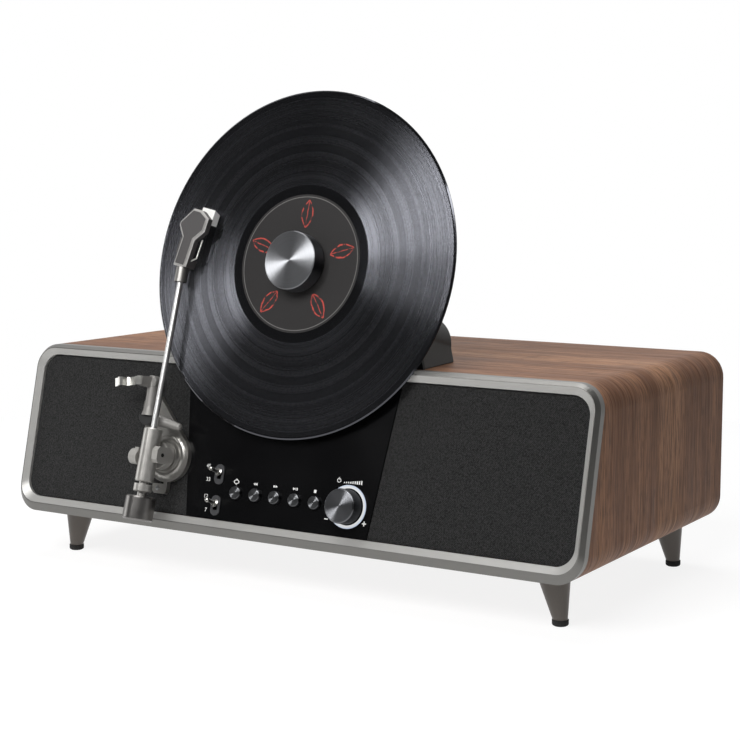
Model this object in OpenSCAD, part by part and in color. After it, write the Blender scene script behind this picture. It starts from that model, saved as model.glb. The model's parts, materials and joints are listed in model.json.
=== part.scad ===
// Vertical record player: a low walnut cabinet whose leaning front carries the controls, two grilles
// and a tonearm, with a record turning upright on a tower behind it.
// The face frame has +X to the right, +Y up the leaning front and +Z straight out of it.

/* [Cabinet] */
// Width of the cabinet
body_w = 574; // [520:1:640]
// Height of the cabinet without its legs
body_h = 151; // [146:1:170]
// Depth of the cabinet along its bottom
body_d = 295; // [260:1:340]
// Radius of the four long edges
corner_r = 22; // [18:1:28]
// Thickness of the veneered wrap
wall = 12; // [9:0.5:15]
// Lean of the front face from upright, in degrees
face_tilt = 13.5; // [10:0.5:16]
// Thickness of the back panel
back_t = 6; // [4:0.5:9]
// Depth of the back panel below the rear edge
back_inset = 12; // [11:0.5:18]

/* [Legs] */
// Height of a leg with its tip
leg_h = 43; // [30:1:70]
// Radius of a leg at the cabinet
leg_top_r = 14; // [10:0.5:18]
// Radius of a leg above its tip
leg_end_r = 6; // [4:0.5:9]
// Outward splay of a leg, in degrees
leg_splay = 9.4; // [0:0.2:14]
// Distance of a leg's top from the cabinet's side
leg_inset = 42; // [37:1:67]
// Distance of the front legs behind the face's lower edge
leg_front_y = 40; // [30:1:70]
// Distance of the rear legs in front of the rear edge
leg_rear_y = 20; // [16:1:60]
// Height of a rubber tip
tip_h = 5; // [3:0.5:9]

/* [Bezel] */
// Depth of the bezel's band behind its outer edge
band_d = 7; // [5:0.5:10]
// Height of the bezel's crease in front of its outer edge
crease_n = 4; // [2:0.25:4.5]
// Width of the bezel at the sides
rim_side = 8.7; // [7:0.1:12]
// Width of the bezel at the top
rim_top = 9.3; // [7:0.1:12]
// Width of the bezel at the bottom
rim_bottom = 13.5; // [11:0.1:15]
// Width of the outer chamfer at the sides and top
chamfer_side = 3.3; // [2:0.1:5]
// Width of the outer chamfer at the bottom
chamfer_bottom = 6.8; // [4:0.1:8]
// Radius of the bezel's inner corners
inner_r = 16; // [12:0.5:18]

/* [Front panel] */
// Depth of the baffle's front below the bezel's outer edge
seat_n = 6; // [5:0.25:7]
// Thickness of the control panel
panel_t = 4.5; // [3.5:0.25:5]
// Thickness of a grille
grille_t = 3.5; // [2.5:0.25:4.5]
// Thickness of the baffle board
baffle_t = 12; // [9:0.5:15]
// Width of the control panel at its foot
panel_foot_w = 185; // [180:1:190]
// Width of the control panel at its top
panel_top_w = 217.5; // [200:0.5:240]
// Gap between neighbouring front pieces
seam = 0.4; // [0.3:0.05:0.8]

/* [Controls] */
// Radius of a push button
button_r = 5.7; // [4.5:0.1:6.5]
// Spacing of the push buttons
button_pitch = 20.3; // [18:0.1:20.5]
// Place of the middle button across the face
button_x = -1.6; // [-3:0.1:1]
// Height of the button row up the face
button_s = 39; // [37:0.5:44]
// Height of a button in front of the panel
button_h = 3.2; // [2:0.1:5]
// Travel of a button
button_travel = 1.2; // [0.8:0.1:1.5]
// Radius of the volume knob
knob_r = 14.5; // [12:0.25:15]
// Height of the knob's face above the panel
knob_h = 13.5; // [10:0.5:16]
// Place of the knob across the face
knob_x = 71; // [69:0.5:72]
// Outer radius of the light ring round the knob
ring_r = 18; // [17:0.25:18.5]
// Place of the toggles across the face
toggle_x = -62; // [-64:0.5:-60]
// Height of the upper toggle up the face
toggle_high_s = 53; // [52:0.5:55]
// Height of the lower toggle up the face
toggle_low_s = 26; // [25.5:0.5:28]
// Length of an oval toggle plate
toggle_plate_h = 17.5; // [15:0.5:19]
// Width of an oval toggle plate
toggle_plate_w = 9.5; // [8:0.5:10]
// Length of a toggle lever from its pin
toggle_len = 25; // [21:0.5:28]
// Tilt of a toggle lever from straight out, in degrees
toggle_tilt = 10; // [8:0.5:11]

/* [Loudspeakers] */
// Distance of a loudspeaker's middle from the cabinet's side
speaker_inset = 91; // [87:1:97]
// Height of a loudspeaker up the face
speaker_s = 82; // [80:0.5:84]
// Radius of a loudspeaker's opening
speaker_r = 46; // [40:0.5:50]
// Depth of a loudspeaker's basket
speaker_d = 38; // [30:1:50]

/* [Record and drive] */
// Radius of the record
record_r = 150.5; // [145:0.5:152]
// Thickness of the record
record_t = 1.9; // [1.6:0.1:2.2]
// Radius of the record's label
label_r = 59.8; // [45:0.1:62]
// Radius where the grooves end
groove_end_r = 71.5; // [64:0.5:76]
// Height of the record's centre up the face
record_s = 238.4; // [236:0.2:246]
// Height of the record's back in front of the bezel's outer edge
record_n = 7.1; // [6.6:0.1:9]
// Radius of the platter
platter_r = 76; // [66:0.5:78]
// Radius of the platter's belt rim
belt_rim_r = 50; // [44:0.5:54]
// Radius of the motor pulley
pulley_r = 6; // [5:0.25:8]
// Distance from the spindle to the motor shaft
motor_gap = 66; // [63:0.5:68]
// Radius of the spindle in the record's hole
spindle_r = 3.58; // [3.5:0.01:3.6]
// Radius of the record clamp
clamp_r = 25.4; // [22:0.2:30]
// Height of the record clamp
clamp_h = 16; // [14:0.5:22]

/* [Tower] */
// Half width of the tower's foot
tower_foot = 131; // [124:0.5:136]
// Half width of the tower's shoulder
tower_shoulder = 114; // [108:0.5:120]
// Height of the shoulder above the cabinet
shoulder_h = 54; // [46:0.5:60]
// Radius of the tower's head
tower_head_r = 92; // [82:0.5:100]
// Depth of the tower's foot
tower_d = 56; // [48:0.5:66]
// Wall of the tower's housing
tower_wall = 2.5; // [2:0.25:4]
// Thickness of the tower's front plate
plate_t = 3; // [2:0.25:4]

/* [Tonearm] */
// Place of the arm's pivot across the face
arm_x = -118; // [-122:0.5:-114]
// Height of the arm's pivot up the face
arm_s = 63.5; // [61:0.5:67]
// Height of the arm's pivot in front of the bezel's outer edge
arm_n = 29; // [28:0.25:32]
// Turn of the arm towards the record, in degrees
arm_swing = 1.5; // [0:0.1:4]
// Radius of the arm tube
tube_r = 2.6; // [2.3:0.1:3.2]
// Length from the pivot to the headshell
tube_len = 165.3; // [160:0.1:172]
// Reach of the stylus below the arm's axis
stylus_drop = 10.7; // [10.3:0.1:11.2]
// Radius of the pivot housing
housing_r = 8.1; // [7.5:0.1:8.5]
// Reach of the pivot housing above the pivot
housing_up = 22; // [18:0.5:24]
// Reach of the pivot housing below the pivot
housing_down = 25; // [22:0.5:28]
// Radius of the counterweight
weight_r = 13.2; // [11:0.1:14]
// Length of the counterweight
weight_len = 21; // [16:0.5:24]
// Gap between the neck ring and the counterweight
weight_gap = 3.5; // [3:0.25:5]
// Turn of the headshell from the tube, in degrees
head_offset = 10.5; // [8:0.5:14]
// Length of the headshell
head_len = 52.5; // [50:0.5:55]
// Width of the headshell's nose
head_w = 29; // [26:0.5:32]
// Width of the headshell's neck
neck_w = 14; // [12:0.5:16]
// Radius of the arm's base plate
base_r = 23; // [21:0.5:25]
// Height of the arm rest's knuckle above the pivot
rest_s = 63.4; // [61:0.2:66]

/* [Hidden] */
$fn = 64;

// Clearances: a running shaft, a moving piece in its hole, a fixed piece in its seat
run_gap = 0.05;
move_gap = 0.35;
seat_gap = 0.1;
// A length that passes any piece, and an overlap for clean cuts
far = 1000;
cut = 1;
// Thickness of the slices that a blended form is drawn between
slice = 0.01;

// The face: its height up the slope, its levels and its foot in the cabinet
face_s = body_h / cos(face_tilt);
panel_n = panel_t - seat_n;
grille_n = grille_t - seat_n;
baffle_n = -seat_n - baffle_t;
leg_x = body_w / 2 - leg_inset;
speaker_x = body_w / 2 - speaker_inset;

// The arm's dip brings the stylus to just above the record
record_top_n = record_n + record_t;
stylus_gap = 0.35;
stylus_x = 6.6;
stylus_y = 50;
stylus_out = tube_len - stylus_x * sin(head_offset) + stylus_y * cos(head_offset);
stylus_fall = arm_n - record_top_n - stylus_gap;
arm_dip = asin(stylus_fall / norm([stylus_out, stylus_drop])) - atan(stylus_drop / stylus_out);

// The arm, seen along its own axis: ring, stub and counterweight below the pivot
neck_gap = 2;
neck_len = 7;
neck_end = housing_down + neck_gap + neck_len;
weight_top = neck_end + weight_gap;
weight_end = weight_top + weight_len;
stub_r = 4;
weight_cap = 3;
weight_play = 4;
stub_end = weight_end - weight_cap - weight_play;

// The foremost point is the counterweight's lower edge, and the origin is midway to the rear edge
reach_s = arm_s - (weight_end * cos(arm_dip) - weight_r * sin(arm_dip)) * cos(arm_swing);
reach_n = arm_n + weight_end * sin(arm_dip) + weight_r * cos(arm_dip);
front_reach = reach_n * cos(face_tilt) - reach_s * sin(face_tilt);
face_y = (front_reach - body_d) / 2;
rear_y = face_y + body_d;

// Levels of the drive, counted out from the face
mat_t = 1.5;
label_t = 0.15;
mat_n = record_n - mat_t;
platter_t = 6.1;
platter_n = mat_n - platter_t;
belt_w = 4;
belt_t = 0.8;
belt_rim_h = 5.2;
plate_n = -band_d - 1;
plate_back_n = plate_n - plate_t;
shaft_r = 5;
bearing_r = 8;
bearing_len = 24;
label_n = record_top_n + label_t;
motor_turn = -40;
motor_shaft_r = 1;
motor_r = 18;
motor_len = 30;

// Puts children in the face frame, with the origin at the foot of the face
module on_face() {
  translate([0, face_y, leg_h])
    rotate([90 - face_tilt, 0, 0])
      children();
}

// Puts children at the record's centre, with +Z straight out
module on_record() {
  on_face()
    translate([0, record_s, 0])
      children();
}

// Puts children on the arm, with +Y along the tube to the headshell
module on_arm() {
  on_face()
    translate([arm_x, arm_s, arm_n])
      rotate([0, 0, -arm_swing])
        rotate([-arm_dip, 0, 0])
          children();
}

// Puts children on the headshell, with +Y to its nose
module on_head() {
  on_arm()
    translate([0, tube_len, 0])
      rotate([0, 0, -head_offset])
        children();
}

// A rectangle with round corners, centred across and standing on the axis
module rounded_rect(w, h, r) {
  translate([-w / 2 + r, 0])
    square([w - 2 * r, h]);
  translate([-w / 2, r])
    square([w, h - 2 * r]);
  for (x = [-1, 1], y = [r, h - r])
    translate([x * (w / 2 - r), y])
      circle(r = r);
}

// The face's outline, moved in by its own amount at the sides, top and bottom
module face_outline(side, top, bottom, r) {
  translate([0, bottom])
    rounded_rect(body_w - 2 * side, face_s - top - bottom, r);
}

// Two circles joined by their tangents, the second one d up the axis; pull draws the straight sides in
module tapered_link(r1, r2, d, pull = 0) {
  lean = acos((r1 - r2) / d);
  p1 = r1 - pull;
  p2 = r2 - pull;
  circle(r = r1);
  translate([0, d])
    circle(r = r2);
  polygon([
    [p1 * sin(lean), p1 * cos(lean)],
    [p2 * sin(lean), d + p2 * cos(lean)],
    [-p2 * sin(lean), d + p2 * cos(lean)],
    [-p1 * sin(lean), p1 * cos(lean)]
  ]);
}

// A disc with a bevelled front edge, from the plane z = 0
module bevelled_disc(r, h, bevel) {
  rotate_extrude()
    polygon([[0, 0], [r, 0], [r, h - bevel], [r - bevel, h], [0, h]]);
}

// A ring of the given height, from the plane z = 0
module ring(r_out, r_in, h) {
  rotate_extrude()
    translate([r_in, 0])
      square([r_out - r_in, h]);
}

// The cabinet's section, moved in all round
module body_section(inset) {
  translate([0, inset])
    rounded_rect(body_w - 2 * inset, body_h - 2 * inset, corner_r - inset);
}

// Extrudes children from the rear plane forwards by the given length
module from_rear(depth, length) {
  translate([0, rear_y - depth, leg_h])
    rotate([90, 0, 0])
      linear_extrude(length)
        children();
}

// Everything in front of a level of the face
module ahead_of(n) {
  on_face()
    translate([-far / 2, -far / 2, n])
      cube(far);
}

cable_r = 10;
cable_y = 34;

module cabinet_shell() {
  color("sienna")
    difference() {
      from_rear(0, body_d + cut)
        difference() {
          body_section(0);
          body_section(wall);
        }
      ahead_of(-band_d);
      translate([0, tower_y(cable_y), leg_h + body_h - wall - cut])
        cylinder(r = cable_r, h = wall + 2 * cut);
    }
}

// Distance from the rear plane's frame of a point behind the tower's foot
function tower_y(depth) = face_y + body_h * tan(face_tilt) + (depth - plate_back_n) / cos(face_tilt);

crease_flat = 0.8;
crease_r = corner_r - chamfer_side;

// A slice of the wrap's outer form between two levels of the face
module body_slab(low, high) {
  difference() {
    from_rear(0, body_d + far / 4)
      body_section(0);
    ahead_of(high);
    on_face()
      translate([-far / 2, -far / 2, low - far])
        cube(far);
  }
}

module front_bezel() {
  color("silver")
    difference() {
      union() {
        body_slab(-band_d, 0);
        hull($fn = 48) {
          body_slab(-slice, 0);
          on_face()
            translate([0, 0, crease_n - slice])
              linear_extrude(slice)
                face_outline(chamfer_side, chamfer_side, chamfer_bottom, crease_r);
        }
      }
      on_face()
        translate([0, 0, -band_d - cut])
          linear_extrude(band_d + 2 * cut)
            face_outline(rim_side, rim_top, rim_bottom, inner_r);
      on_face()
        hull($fn = 48) {
          linear_extrude(slice)
            face_outline(rim_side, rim_top, rim_bottom, inner_r);
          translate([0, 0, crease_n])
            linear_extrude(slice)
              face_outline(chamfer_side + crease_flat, chamfer_side + crease_flat,
                           chamfer_bottom + crease_flat, crease_r - crease_flat);
        }
    }
}

// The baffle stands between the wrap's floor and roof, square to the face
baffle_low = (wall - baffle_n * sin(face_tilt)) / cos(face_tilt);
baffle_high = (body_h - wall + seat_n * sin(face_tilt)) / cos(face_tilt);
control_r = 8;
window_play = 3;
window_w = 2 * (knob_x + control_r + window_play);
window_high = toggle_high_s + toggle_plate_h / 2 + 3;
window_low = baffle_low + 2;

module baffle_board() {
  color("darkkhaki")
    on_face()
      translate([0, 0, baffle_n])
        difference() {
          linear_extrude(baffle_t)
            translate([0, baffle_low])
              rounded_rect(body_w - 2 * wall, baffle_high - baffle_low, corner_r - wall);
          for (x = [-1, 1])
            translate([x * speaker_x, speaker_s, -cut])
              cylinder(r = speaker_r, h = baffle_t + 2 * cut);
          translate([-window_w / 2, window_low, -cut])
            cube([window_w, window_high - window_low, baffle_t + 2 * cut]);
        }
}

panel_low = rim_bottom + seam;
panel_high = face_s - rim_top - seam;

// The control panel's slanting sides, moved out by a gap
module panel_outline(gap) {
  polygon([
    [-panel_foot_w / 2 - gap, panel_low],
    [panel_foot_w / 2 + gap, panel_low],
    [panel_top_w / 2 + gap, panel_high],
    [-panel_top_w / 2 - gap, panel_high]
  ]);
}

button_gap = 0.35;
toggle_slot_w = 4.4;
toggle_slot_h = 8;

module control_panel() {
  color("black")
    on_face()
      translate([0, 0, -seat_n])
        difference() {
          linear_extrude(panel_t)
            panel_outline(0);
          for (i = [-2 : 2])
            translate([button_x + i * button_pitch, button_s, -cut])
              cylinder(r = button_r + button_gap, h = panel_t + 2 * cut);
          translate([knob_x, button_s, -cut])
            cylinder(r = bush_r + seat_gap, h = panel_t + 2 * cut);
          translate([knob_x, button_s, panel_t - ring_seat])
            ring(ring_r + seat_gap, ring_r - ring_w - seat_gap, ring_seat + cut);
          for (s = [toggle_low_s, toggle_high_s])
            translate([toggle_x - toggle_slot_w / 2, s - toggle_slot_h / 2, -cut])
              cube([toggle_slot_w, toggle_slot_h, panel_t + 2 * cut]);
        }
}

// One grille, on the right for side 1 and on the left for side -1
module grille(side) {
  color("dimgray")
    on_face()
      translate([0, 0, -seat_n])
        linear_extrude(grille_t)
          intersection() {
            face_outline(rim_side + seam, rim_top + seam, rim_bottom + seam, inner_r - seam);
            polygon([
              [side * (panel_foot_w / 2 + seam), panel_low],
              [side * body_w, panel_low],
              [side * body_w, panel_high],
              [side * (panel_top_w / 2 + seam), panel_high]
            ]);
          }
}

module left_grille() {
  grille(-1);
}

module right_grille() {
  grille(1);
}

basket_rim = 8;
basket_lip = 3;
basket_t = 2;
magnet_r = 30;
magnet_t = 16;
throat_r = 20;

// A loudspeaker's basket and magnet behind the baffle
module speaker(side) {
  color("gray")
    on_face()
      translate([side * speaker_x, speaker_s, baffle_n])
        mirror([0, 0, 1])
          rotate_extrude()
            polygon([
              [speaker_r - basket_lip, 0],
              [speaker_r + basket_rim, 0],
              [speaker_r + basket_rim, basket_t],
              [speaker_r + basket_t, basket_t],
              [magnet_r - basket_t, speaker_d - basket_t],
              [magnet_r, speaker_d],
              [magnet_r, speaker_d + magnet_t],
              [0, speaker_d + magnet_t],
              [0, speaker_d - basket_t],
              [throat_r, speaker_d - basket_t]
            ]);
}

module left_speaker() {
  speaker(-1);
}

module right_speaker() {
  speaker(1);
}

cone_t = 0.8;
surround_w = 7;
cap_r = 13;

// Paper cones with a roll surround and a dust cap, seated on the basket's rim
module speaker_cones() {
  color("darkslategray")
    for (x = [-1, 1])
      on_face()
        translate([x * speaker_x, speaker_s, baffle_n])
          rotate_extrude()
            polygon([
              [speaker_r - seat_gap, 0],
              [speaker_r - seat_gap, cone_t],
              [speaker_r - surround_w / 2, surround_w / 2],
              [speaker_r - surround_w, cone_t],
              [cap_r, -speaker_d / 2],
              [cap_r / 2, -speaker_d / 2 + cap_r / 3],
              [0, -speaker_d / 2 + cap_r / 2],
              [0, -speaker_d / 2 + cap_r / 2 - cone_t],
              [cap_r / 2, -speaker_d / 2 + cap_r / 3 - cone_t],
              [cap_r, -speaker_d / 2 - 2 * cone_t],
              [speaker_r - surround_w, 0]
            ]);
}

jack_w = 120;
jack_h = 44;
jack_t = 2;
jack_z = 60;
jack_corner = 4;
jack_rim = 5;

module back_panel() {
  color("dimgray")
    difference() {
      from_rear(back_inset, back_t)
        body_section(wall);
      from_rear(back_inset - cut, back_t + 2 * cut)
        translate([0, jack_z - jack_h / 2])
          rounded_rect(jack_w - 2 * jack_rim, jack_h - 2 * jack_rim, jack_corner);
    }
}

// Screw heads on the back panel
screw_r = 3.2;
screw_h = 1.6;
screw_inset = 9;

module screw_head(r, h) {
  rotate_extrude()
    polygon([[0, 0], [r, 0], [r * 0.85, h * 0.6], [r * 0.5, h], [0, h]]);
}

module back_screws() {
  span_x = body_w / 2 - wall - screw_inset - corner_r / 2;
  low_z = wall + screw_inset;
  high_z = body_h - wall - screw_inset;
  color("silver")
    for (x = [-1, -0.33, 0.33, 1], z = [low_z, high_z])
      translate([x * span_x, rear_y - back_inset, leg_h + z])
        rotate([-90, 0, 0])
          screw_head(screw_r, screw_h);
}

// The jacks stand on a plate over the back panel's opening
rca_pitch = 18;
rca_x = -38;
rca_r = 4.15;
rca_body_r = 4.7;
rca_len = 8;
rca_nut_r = 6;
rca_hole_r = 1.6;
aux_x = 10;
aux_r = 1.8;
aux_nut_r = 4;
inlet_x = 40;
inlet_r = 2.9;
inlet_pin_r = 1.05;
inlet_body_r = 5.5;
jack_depth = 12;
nut_t = 1.2;

// Puts children on the jack plate's outer face, with +Z to the rear
module on_jacks(x) {
  translate([x, rear_y - back_inset + jack_t, leg_h + jack_z])
    rotate([-90, 0, 0])
      children();
}

module jack_plate() {
  color("black")
    difference() {
      translate([0, rear_y - back_inset, leg_h + jack_z - jack_h / 2])
        rotate([90, 0, 0])
          mirror([0, 0, 1])
            linear_extrude(jack_t)
              rounded_rect(jack_w, jack_h, jack_corner);
      for (i = [0, 1])
        on_jacks(rca_x + i * rca_pitch)
          translate([0, 0, -jack_t - cut])
            cylinder(r = rca_body_r + seat_gap, h = jack_t + 2 * cut);
      on_jacks(aux_x)
        translate([0, 0, -jack_t - cut])
          cylinder(r = aux_nut_r + seat_gap, h = jack_t + 2 * cut);
      on_jacks(inlet_x)
        translate([0, 0, -jack_t - cut])
          cylinder(r = inlet_body_r + seat_gap, h = jack_t + 2 * cut);
    }
}

// Two coaxial line-out jacks and the aux socket
module line_out_jacks() {
  color("gold")
    for (i = [0, 1])
      on_jacks(rca_x + i * rca_pitch)
        difference() {
          union() {
            translate([0, 0, -jack_depth])
              cylinder(r = rca_body_r, h = jack_depth);
            cylinder(r = rca_r, h = rca_len);
            translate([0, 0, -jack_t - nut_t])
              cylinder(r = rca_nut_r, h = nut_t);
          }
          translate([0, 0, rca_len - jack_depth])
            cylinder(r = rca_hole_r, h = jack_depth + cut);
        }
  color("gold")
    on_jacks(aux_x)
      difference() {
        union() {
          translate([0, 0, -jack_depth])
            cylinder(r = aux_nut_r, h = jack_depth + nut_t);
          translate([0, 0, -jack_t - nut_t])
            cylinder(r = aux_nut_r + nut_t, h = nut_t);
        }
        translate([0, 0, nut_t - jack_depth])
          cylinder(r = aux_r, h = jack_depth + cut);
      }
}

// A barrel power inlet with its centre pin
module power_inlet() {
  color("black")
    on_jacks(inlet_x)
      difference() {
        union() {
          translate([0, 0, -jack_depth])
            cylinder(r = inlet_body_r, h = jack_depth + nut_t);
          translate([0, 0, -jack_t - nut_t])
            cylinder(r = inlet_body_r + nut_t, h = nut_t);
        }
        translate([0, 0, nut_t - jack_depth + cut])
          ring(inlet_r, inlet_pin_r, jack_depth + cut);
      }
}

board_w = 150;
board_d = 100;
board_t = 1.6;
post_h = 6;
post_r = 3;
post_inset = 8;
sink_w = 60;
sink_h = 24;
sink_fin = 3;
sink_fins = 6;
board_back = 40;

// The amplifier board on four posts, with its finned heat sink
module amplifier_board() {
  color("seagreen")
    translate([0, rear_y - board_back - board_d, leg_h + wall]) {
      translate([-board_w / 2, 0, post_h])
        cube([board_w, board_d, board_t]);
      for (x = [-1, 1], y = [post_inset, board_d - post_inset])
        translate([x * (board_w / 2 - post_inset), y, 0])
          cylinder(r = post_r, h = post_h + cut);
      for (i = [0 : sink_fins - 1])
        translate([-sink_w / 2, board_d / 4 + 2 * i * sink_fin, post_h + board_t - cut / 2])
          cube([sink_w, sink_fin, sink_h]);
      translate([-sink_w / 2, board_d / 4, post_h + board_t - cut / 2])
        cube([sink_w, (2 * sink_fins - 1) * sink_fin, sink_fin]);
    }
}

// The control board closes the baffle's window and carries the switches
board_lap = 8;
board_rise = 6;
control_w = window_w + 2 * board_lap;
control_low = window_low;
control_high = window_high + board_rise;
tact = 6;
flange_t = 2;
flange_w = 1.3;
stem_r = 2;
stem_len = 2;
stem_end_n = -seat_n - flange_t - stem_len;

module control_board() {
  color("seagreen")
    on_face() {
      translate([-control_w / 2, control_low, baffle_n - board_t])
        cube([control_w, control_high - control_low, board_t]);
      for (i = [-2 : 2])
        translate([button_x + i * button_pitch - tact / 2, button_s - tact / 2, baffle_n - cut / 2])
          cube([tact, tact, stem_end_n - button_travel - move_gap - baffle_n + cut / 2]);
    }
}

// The toggles: a lever on a pin between the cheeks of a switch body
switch_w = 10;
switch_h = 14;
toggle_pin_n = -seat_n - 4;
toggle_pin_r = 1;
toggle_hub_r = 2.2;
toggle_hub_w = 4;
bat_r = 1.7;
bat_end_r = 2.1;
lever_collar_r = 3.4;
lever_collar_t = 1.2;
lever_collar_at = panel_n + nut_t - toggle_pin_n + 1.3;

module toggle_switches() {
  color("black")
    for (s = [toggle_low_s, toggle_high_s])
      on_face()
        translate([toggle_x, s, 0])
          difference() {
            translate([-switch_w / 2, -switch_h / 2, baffle_n])
              cube([switch_w, switch_h, baffle_t]);
            translate([-toggle_slot_w / 2, -toggle_slot_h / 2, toggle_pin_n - 2 * toggle_hub_r])
              cube([toggle_slot_w, toggle_slot_h, far]);
            translate([-switch_w, 0, toggle_pin_n])
              rotate([0, 90, 0])
                cylinder(r = toggle_pin_r + run_gap, h = 2 * switch_w);
          }
}

module toggle_plates() {
  color("silver")
    for (s = [toggle_low_s, toggle_high_s])
      on_face()
        translate([toggle_x, s, panel_n])
          difference() {
            linear_extrude(nut_t)
              translate([0, (toggle_plate_w - toggle_plate_h) / 2])
                tapered_link(toggle_plate_w / 2, toggle_plate_w / 2, toggle_plate_h - toggle_plate_w);
            translate([-toggle_slot_w / 2, -toggle_slot_h / 2, -cut])
              cube([toggle_slot_w, toggle_slot_h, nut_t + 2 * cut]);
          }
}

// A bat-handled lever on its cross pin, tilted up
module toggle_lever(s) {
  color("gainsboro")
    on_face()
      translate([toggle_x, s, toggle_pin_n])
        rotate([-toggle_tilt, 0, 0]) {
          rotate_extrude()
            polygon([
              [0, 0],
              [bat_r, 0],
              [bat_r, lever_collar_at],
              [lever_collar_r, lever_collar_at],
              [lever_collar_r, lever_collar_at + lever_collar_t / 2],
              [bat_r, lever_collar_at + lever_collar_t],
              [bat_end_r, toggle_len - bat_end_r],
              [bat_end_r * 0.8, toggle_len - bat_end_r / 3],
              [0, toggle_len]
            ]);
          rotate([0, 90, 0])
            cylinder(r = toggle_hub_r, h = toggle_hub_w, center = true);
          rotate([0, 90, 0])
            cylinder(r = toggle_pin_r, h = switch_w - cut, center = true);
        }
}

module speed_toggle() {
  toggle_lever(toggle_high_s);
}

module size_toggle() {
  toggle_lever(toggle_low_s);
}

// The volume control: a bushed control body behind the panel, a light ring and the knob on its shaft
bush_r = 4.5;
volume_shaft_r = 3;
ring_w = 2.6;
ring_seat = 2;
ring_proud = 0.4;
knob_lift = 1;
knob_bevel = 1;
hub_r = 7;

module volume_control() {
  color("gray")
    on_face()
      translate([knob_x, button_s, 0])
        difference() {
          union() {
            translate([0, 0, baffle_n])
              cylinder(r = control_r, h = baffle_t);
            translate([0, 0, baffle_n + cut])
              cylinder(r = bush_r, h = panel_n - baffle_n - cut);
          }
          translate([0, 0, baffle_n + cut])
            cylinder(r = volume_shaft_r + run_gap, h = far);
        }
}

module led_ring() {
  color("white")
    on_face()
      translate([knob_x, button_s, panel_n - ring_seat])
        ring(ring_r, ring_r - ring_w, ring_seat + ring_proud);
}

// A turned knob with a hollow back and a hub on its shaft
module volume_knob() {
  color("dimgray")
    on_face()
      translate([knob_x, button_s, panel_n])
        rotate_extrude()
          polygon([
            [0, baffle_n - panel_n + 2 * cut],
            [volume_shaft_r, baffle_n - panel_n + 2 * cut],
            [volume_shaft_r, knob_lift],
            [hub_r, knob_lift],
            [hub_r, knob_h / 2],
            [knob_r - 2, knob_h / 2],
            [knob_r - 2, knob_lift],
            [knob_r, knob_lift],
            [knob_r, knob_h - knob_bevel],
            [knob_r - knob_bevel, knob_h],
            [0, knob_h]
          ]);
}

button_bevel = 0.6;

// A turned button cap with a flange behind the panel and a stem to its switch
module button(i) {
  color("gray")
    on_face()
      translate([button_x + i * button_pitch, button_s, 0])
        rotate_extrude()
          polygon([
            [0, stem_end_n],
            [stem_r, stem_end_n],
            [stem_r, -seat_n - flange_t],
            [button_r + flange_w, -seat_n - flange_t],
            [button_r + flange_w, -seat_n],
            [button_r, -seat_n],
            [button_r, panel_n + button_h - button_bevel],
            [button_r - button_bevel, panel_n + button_h],
            [0, panel_n + button_h]
          ]);
}

module source_button() {
  button(-2);
}

module previous_button() {
  button(-1);
}

module next_button() {
  button(0);
}

module play_button() {
  button(1);
}

module stop_button() {
  button(2);
}

// A tapered leg leaning outwards, cut level under the cabinet
leg_taper = (leg_top_r - leg_end_r) / (leg_h - tip_h);
leg_over = 10;

// Puts children at a leg's top, with +Z up its leaning axis
module on_leg(side, y) {
  translate([side * leg_x, y, leg_h])
    rotate([0, -side * leg_splay, 0])
      children();
}

module leg(side, y) {
  color("dimgray")
    difference() {
      on_leg(side, y)
        translate([0, 0, -leg_h / cos(leg_splay)])
          cylinder(r1 = leg_end_r - tip_h * leg_taper, r2 = leg_top_r + leg_over * leg_taper,
                   h = leg_h / cos(leg_splay) + leg_over);
      translate([-far / 2, -far / 2, leg_h])
        cube(far);
      translate([-far / 2, -far / 2, tip_h - far])
        cube(far);
    }
}

front_leg_y = face_y + leg_front_y;
rear_leg_y = rear_y - leg_rear_y;

module leg_front_left() {
  leg(-1, front_leg_y);
}

module leg_front_right() {
  leg(1, front_leg_y);
}

module leg_rear_left() {
  leg(-1, rear_leg_y);
}

module leg_rear_right() {
  leg(1, rear_leg_y);
}

tip_lip = 0.7;
tip_round = 1.6;

// Rubber tips, level on the floor under each leg's end
module leg_tips() {
  tip_r = leg_end_r + tip_lip;
  tip_x = leg_x + (leg_h - tip_h) * tan(leg_splay);
  color("black")
    for (x = [-1, 1], y = [front_leg_y, rear_leg_y])
      translate([x * tip_x, y, 0])
        rotate_extrude()
          polygon([
            [0, 0],
            [tip_r - tip_round, 0],
            [tip_r - tip_round * 0.3, tip_round * 0.4],
            [tip_r, tip_round],
            [tip_r, tip_h],
            [0, tip_h]
          ]);
}

// The tower's foot with round shoulders, moved in by a wall
shoulder_r = 26;
foot_lap = 20;
foot_low = face_s - foot_lap;
head_d = 42;

module tower_foot_outline(inset) {
  foot = tower_foot - inset;
  shoulder = tower_shoulder - inset;
  top = face_s + shoulder_h - inset;
  polygon([
    [-foot, foot_low],
    [foot, foot_low],
    [shoulder, top - shoulder_r],
    [shoulder - shoulder_r, top],
    [-shoulder + shoulder_r, top],
    [-shoulder, top - shoulder_r]
  ]);
  for (x = [-1, 1])
    translate([x * (shoulder - shoulder_r), top - shoulder_r])
      circle(r = shoulder_r);
}

// The tower's round head above its foot
module tower_head_outline(inset) {
  translate([0, record_s])
    circle(r = tower_head_r - inset);
  translate([-tower_head_r + inset, foot_low])
    square([2 * (tower_head_r - inset), record_s - foot_low]);
}

// The housing's outer form, or its hollow where inset is the wall
module tower_form(inset) {
  translate([0, 0, plate_back_n - tower_d + inset])
    linear_extrude(tower_d - inset + (inset > 0 ? cut : 0))
      tower_foot_outline(inset);
  translate([0, 0, plate_back_n - head_d + inset])
    linear_extrude(head_d - inset + (inset > 0 ? cut : 0), $fn = 96)
      tower_head_outline(inset);
}

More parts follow.
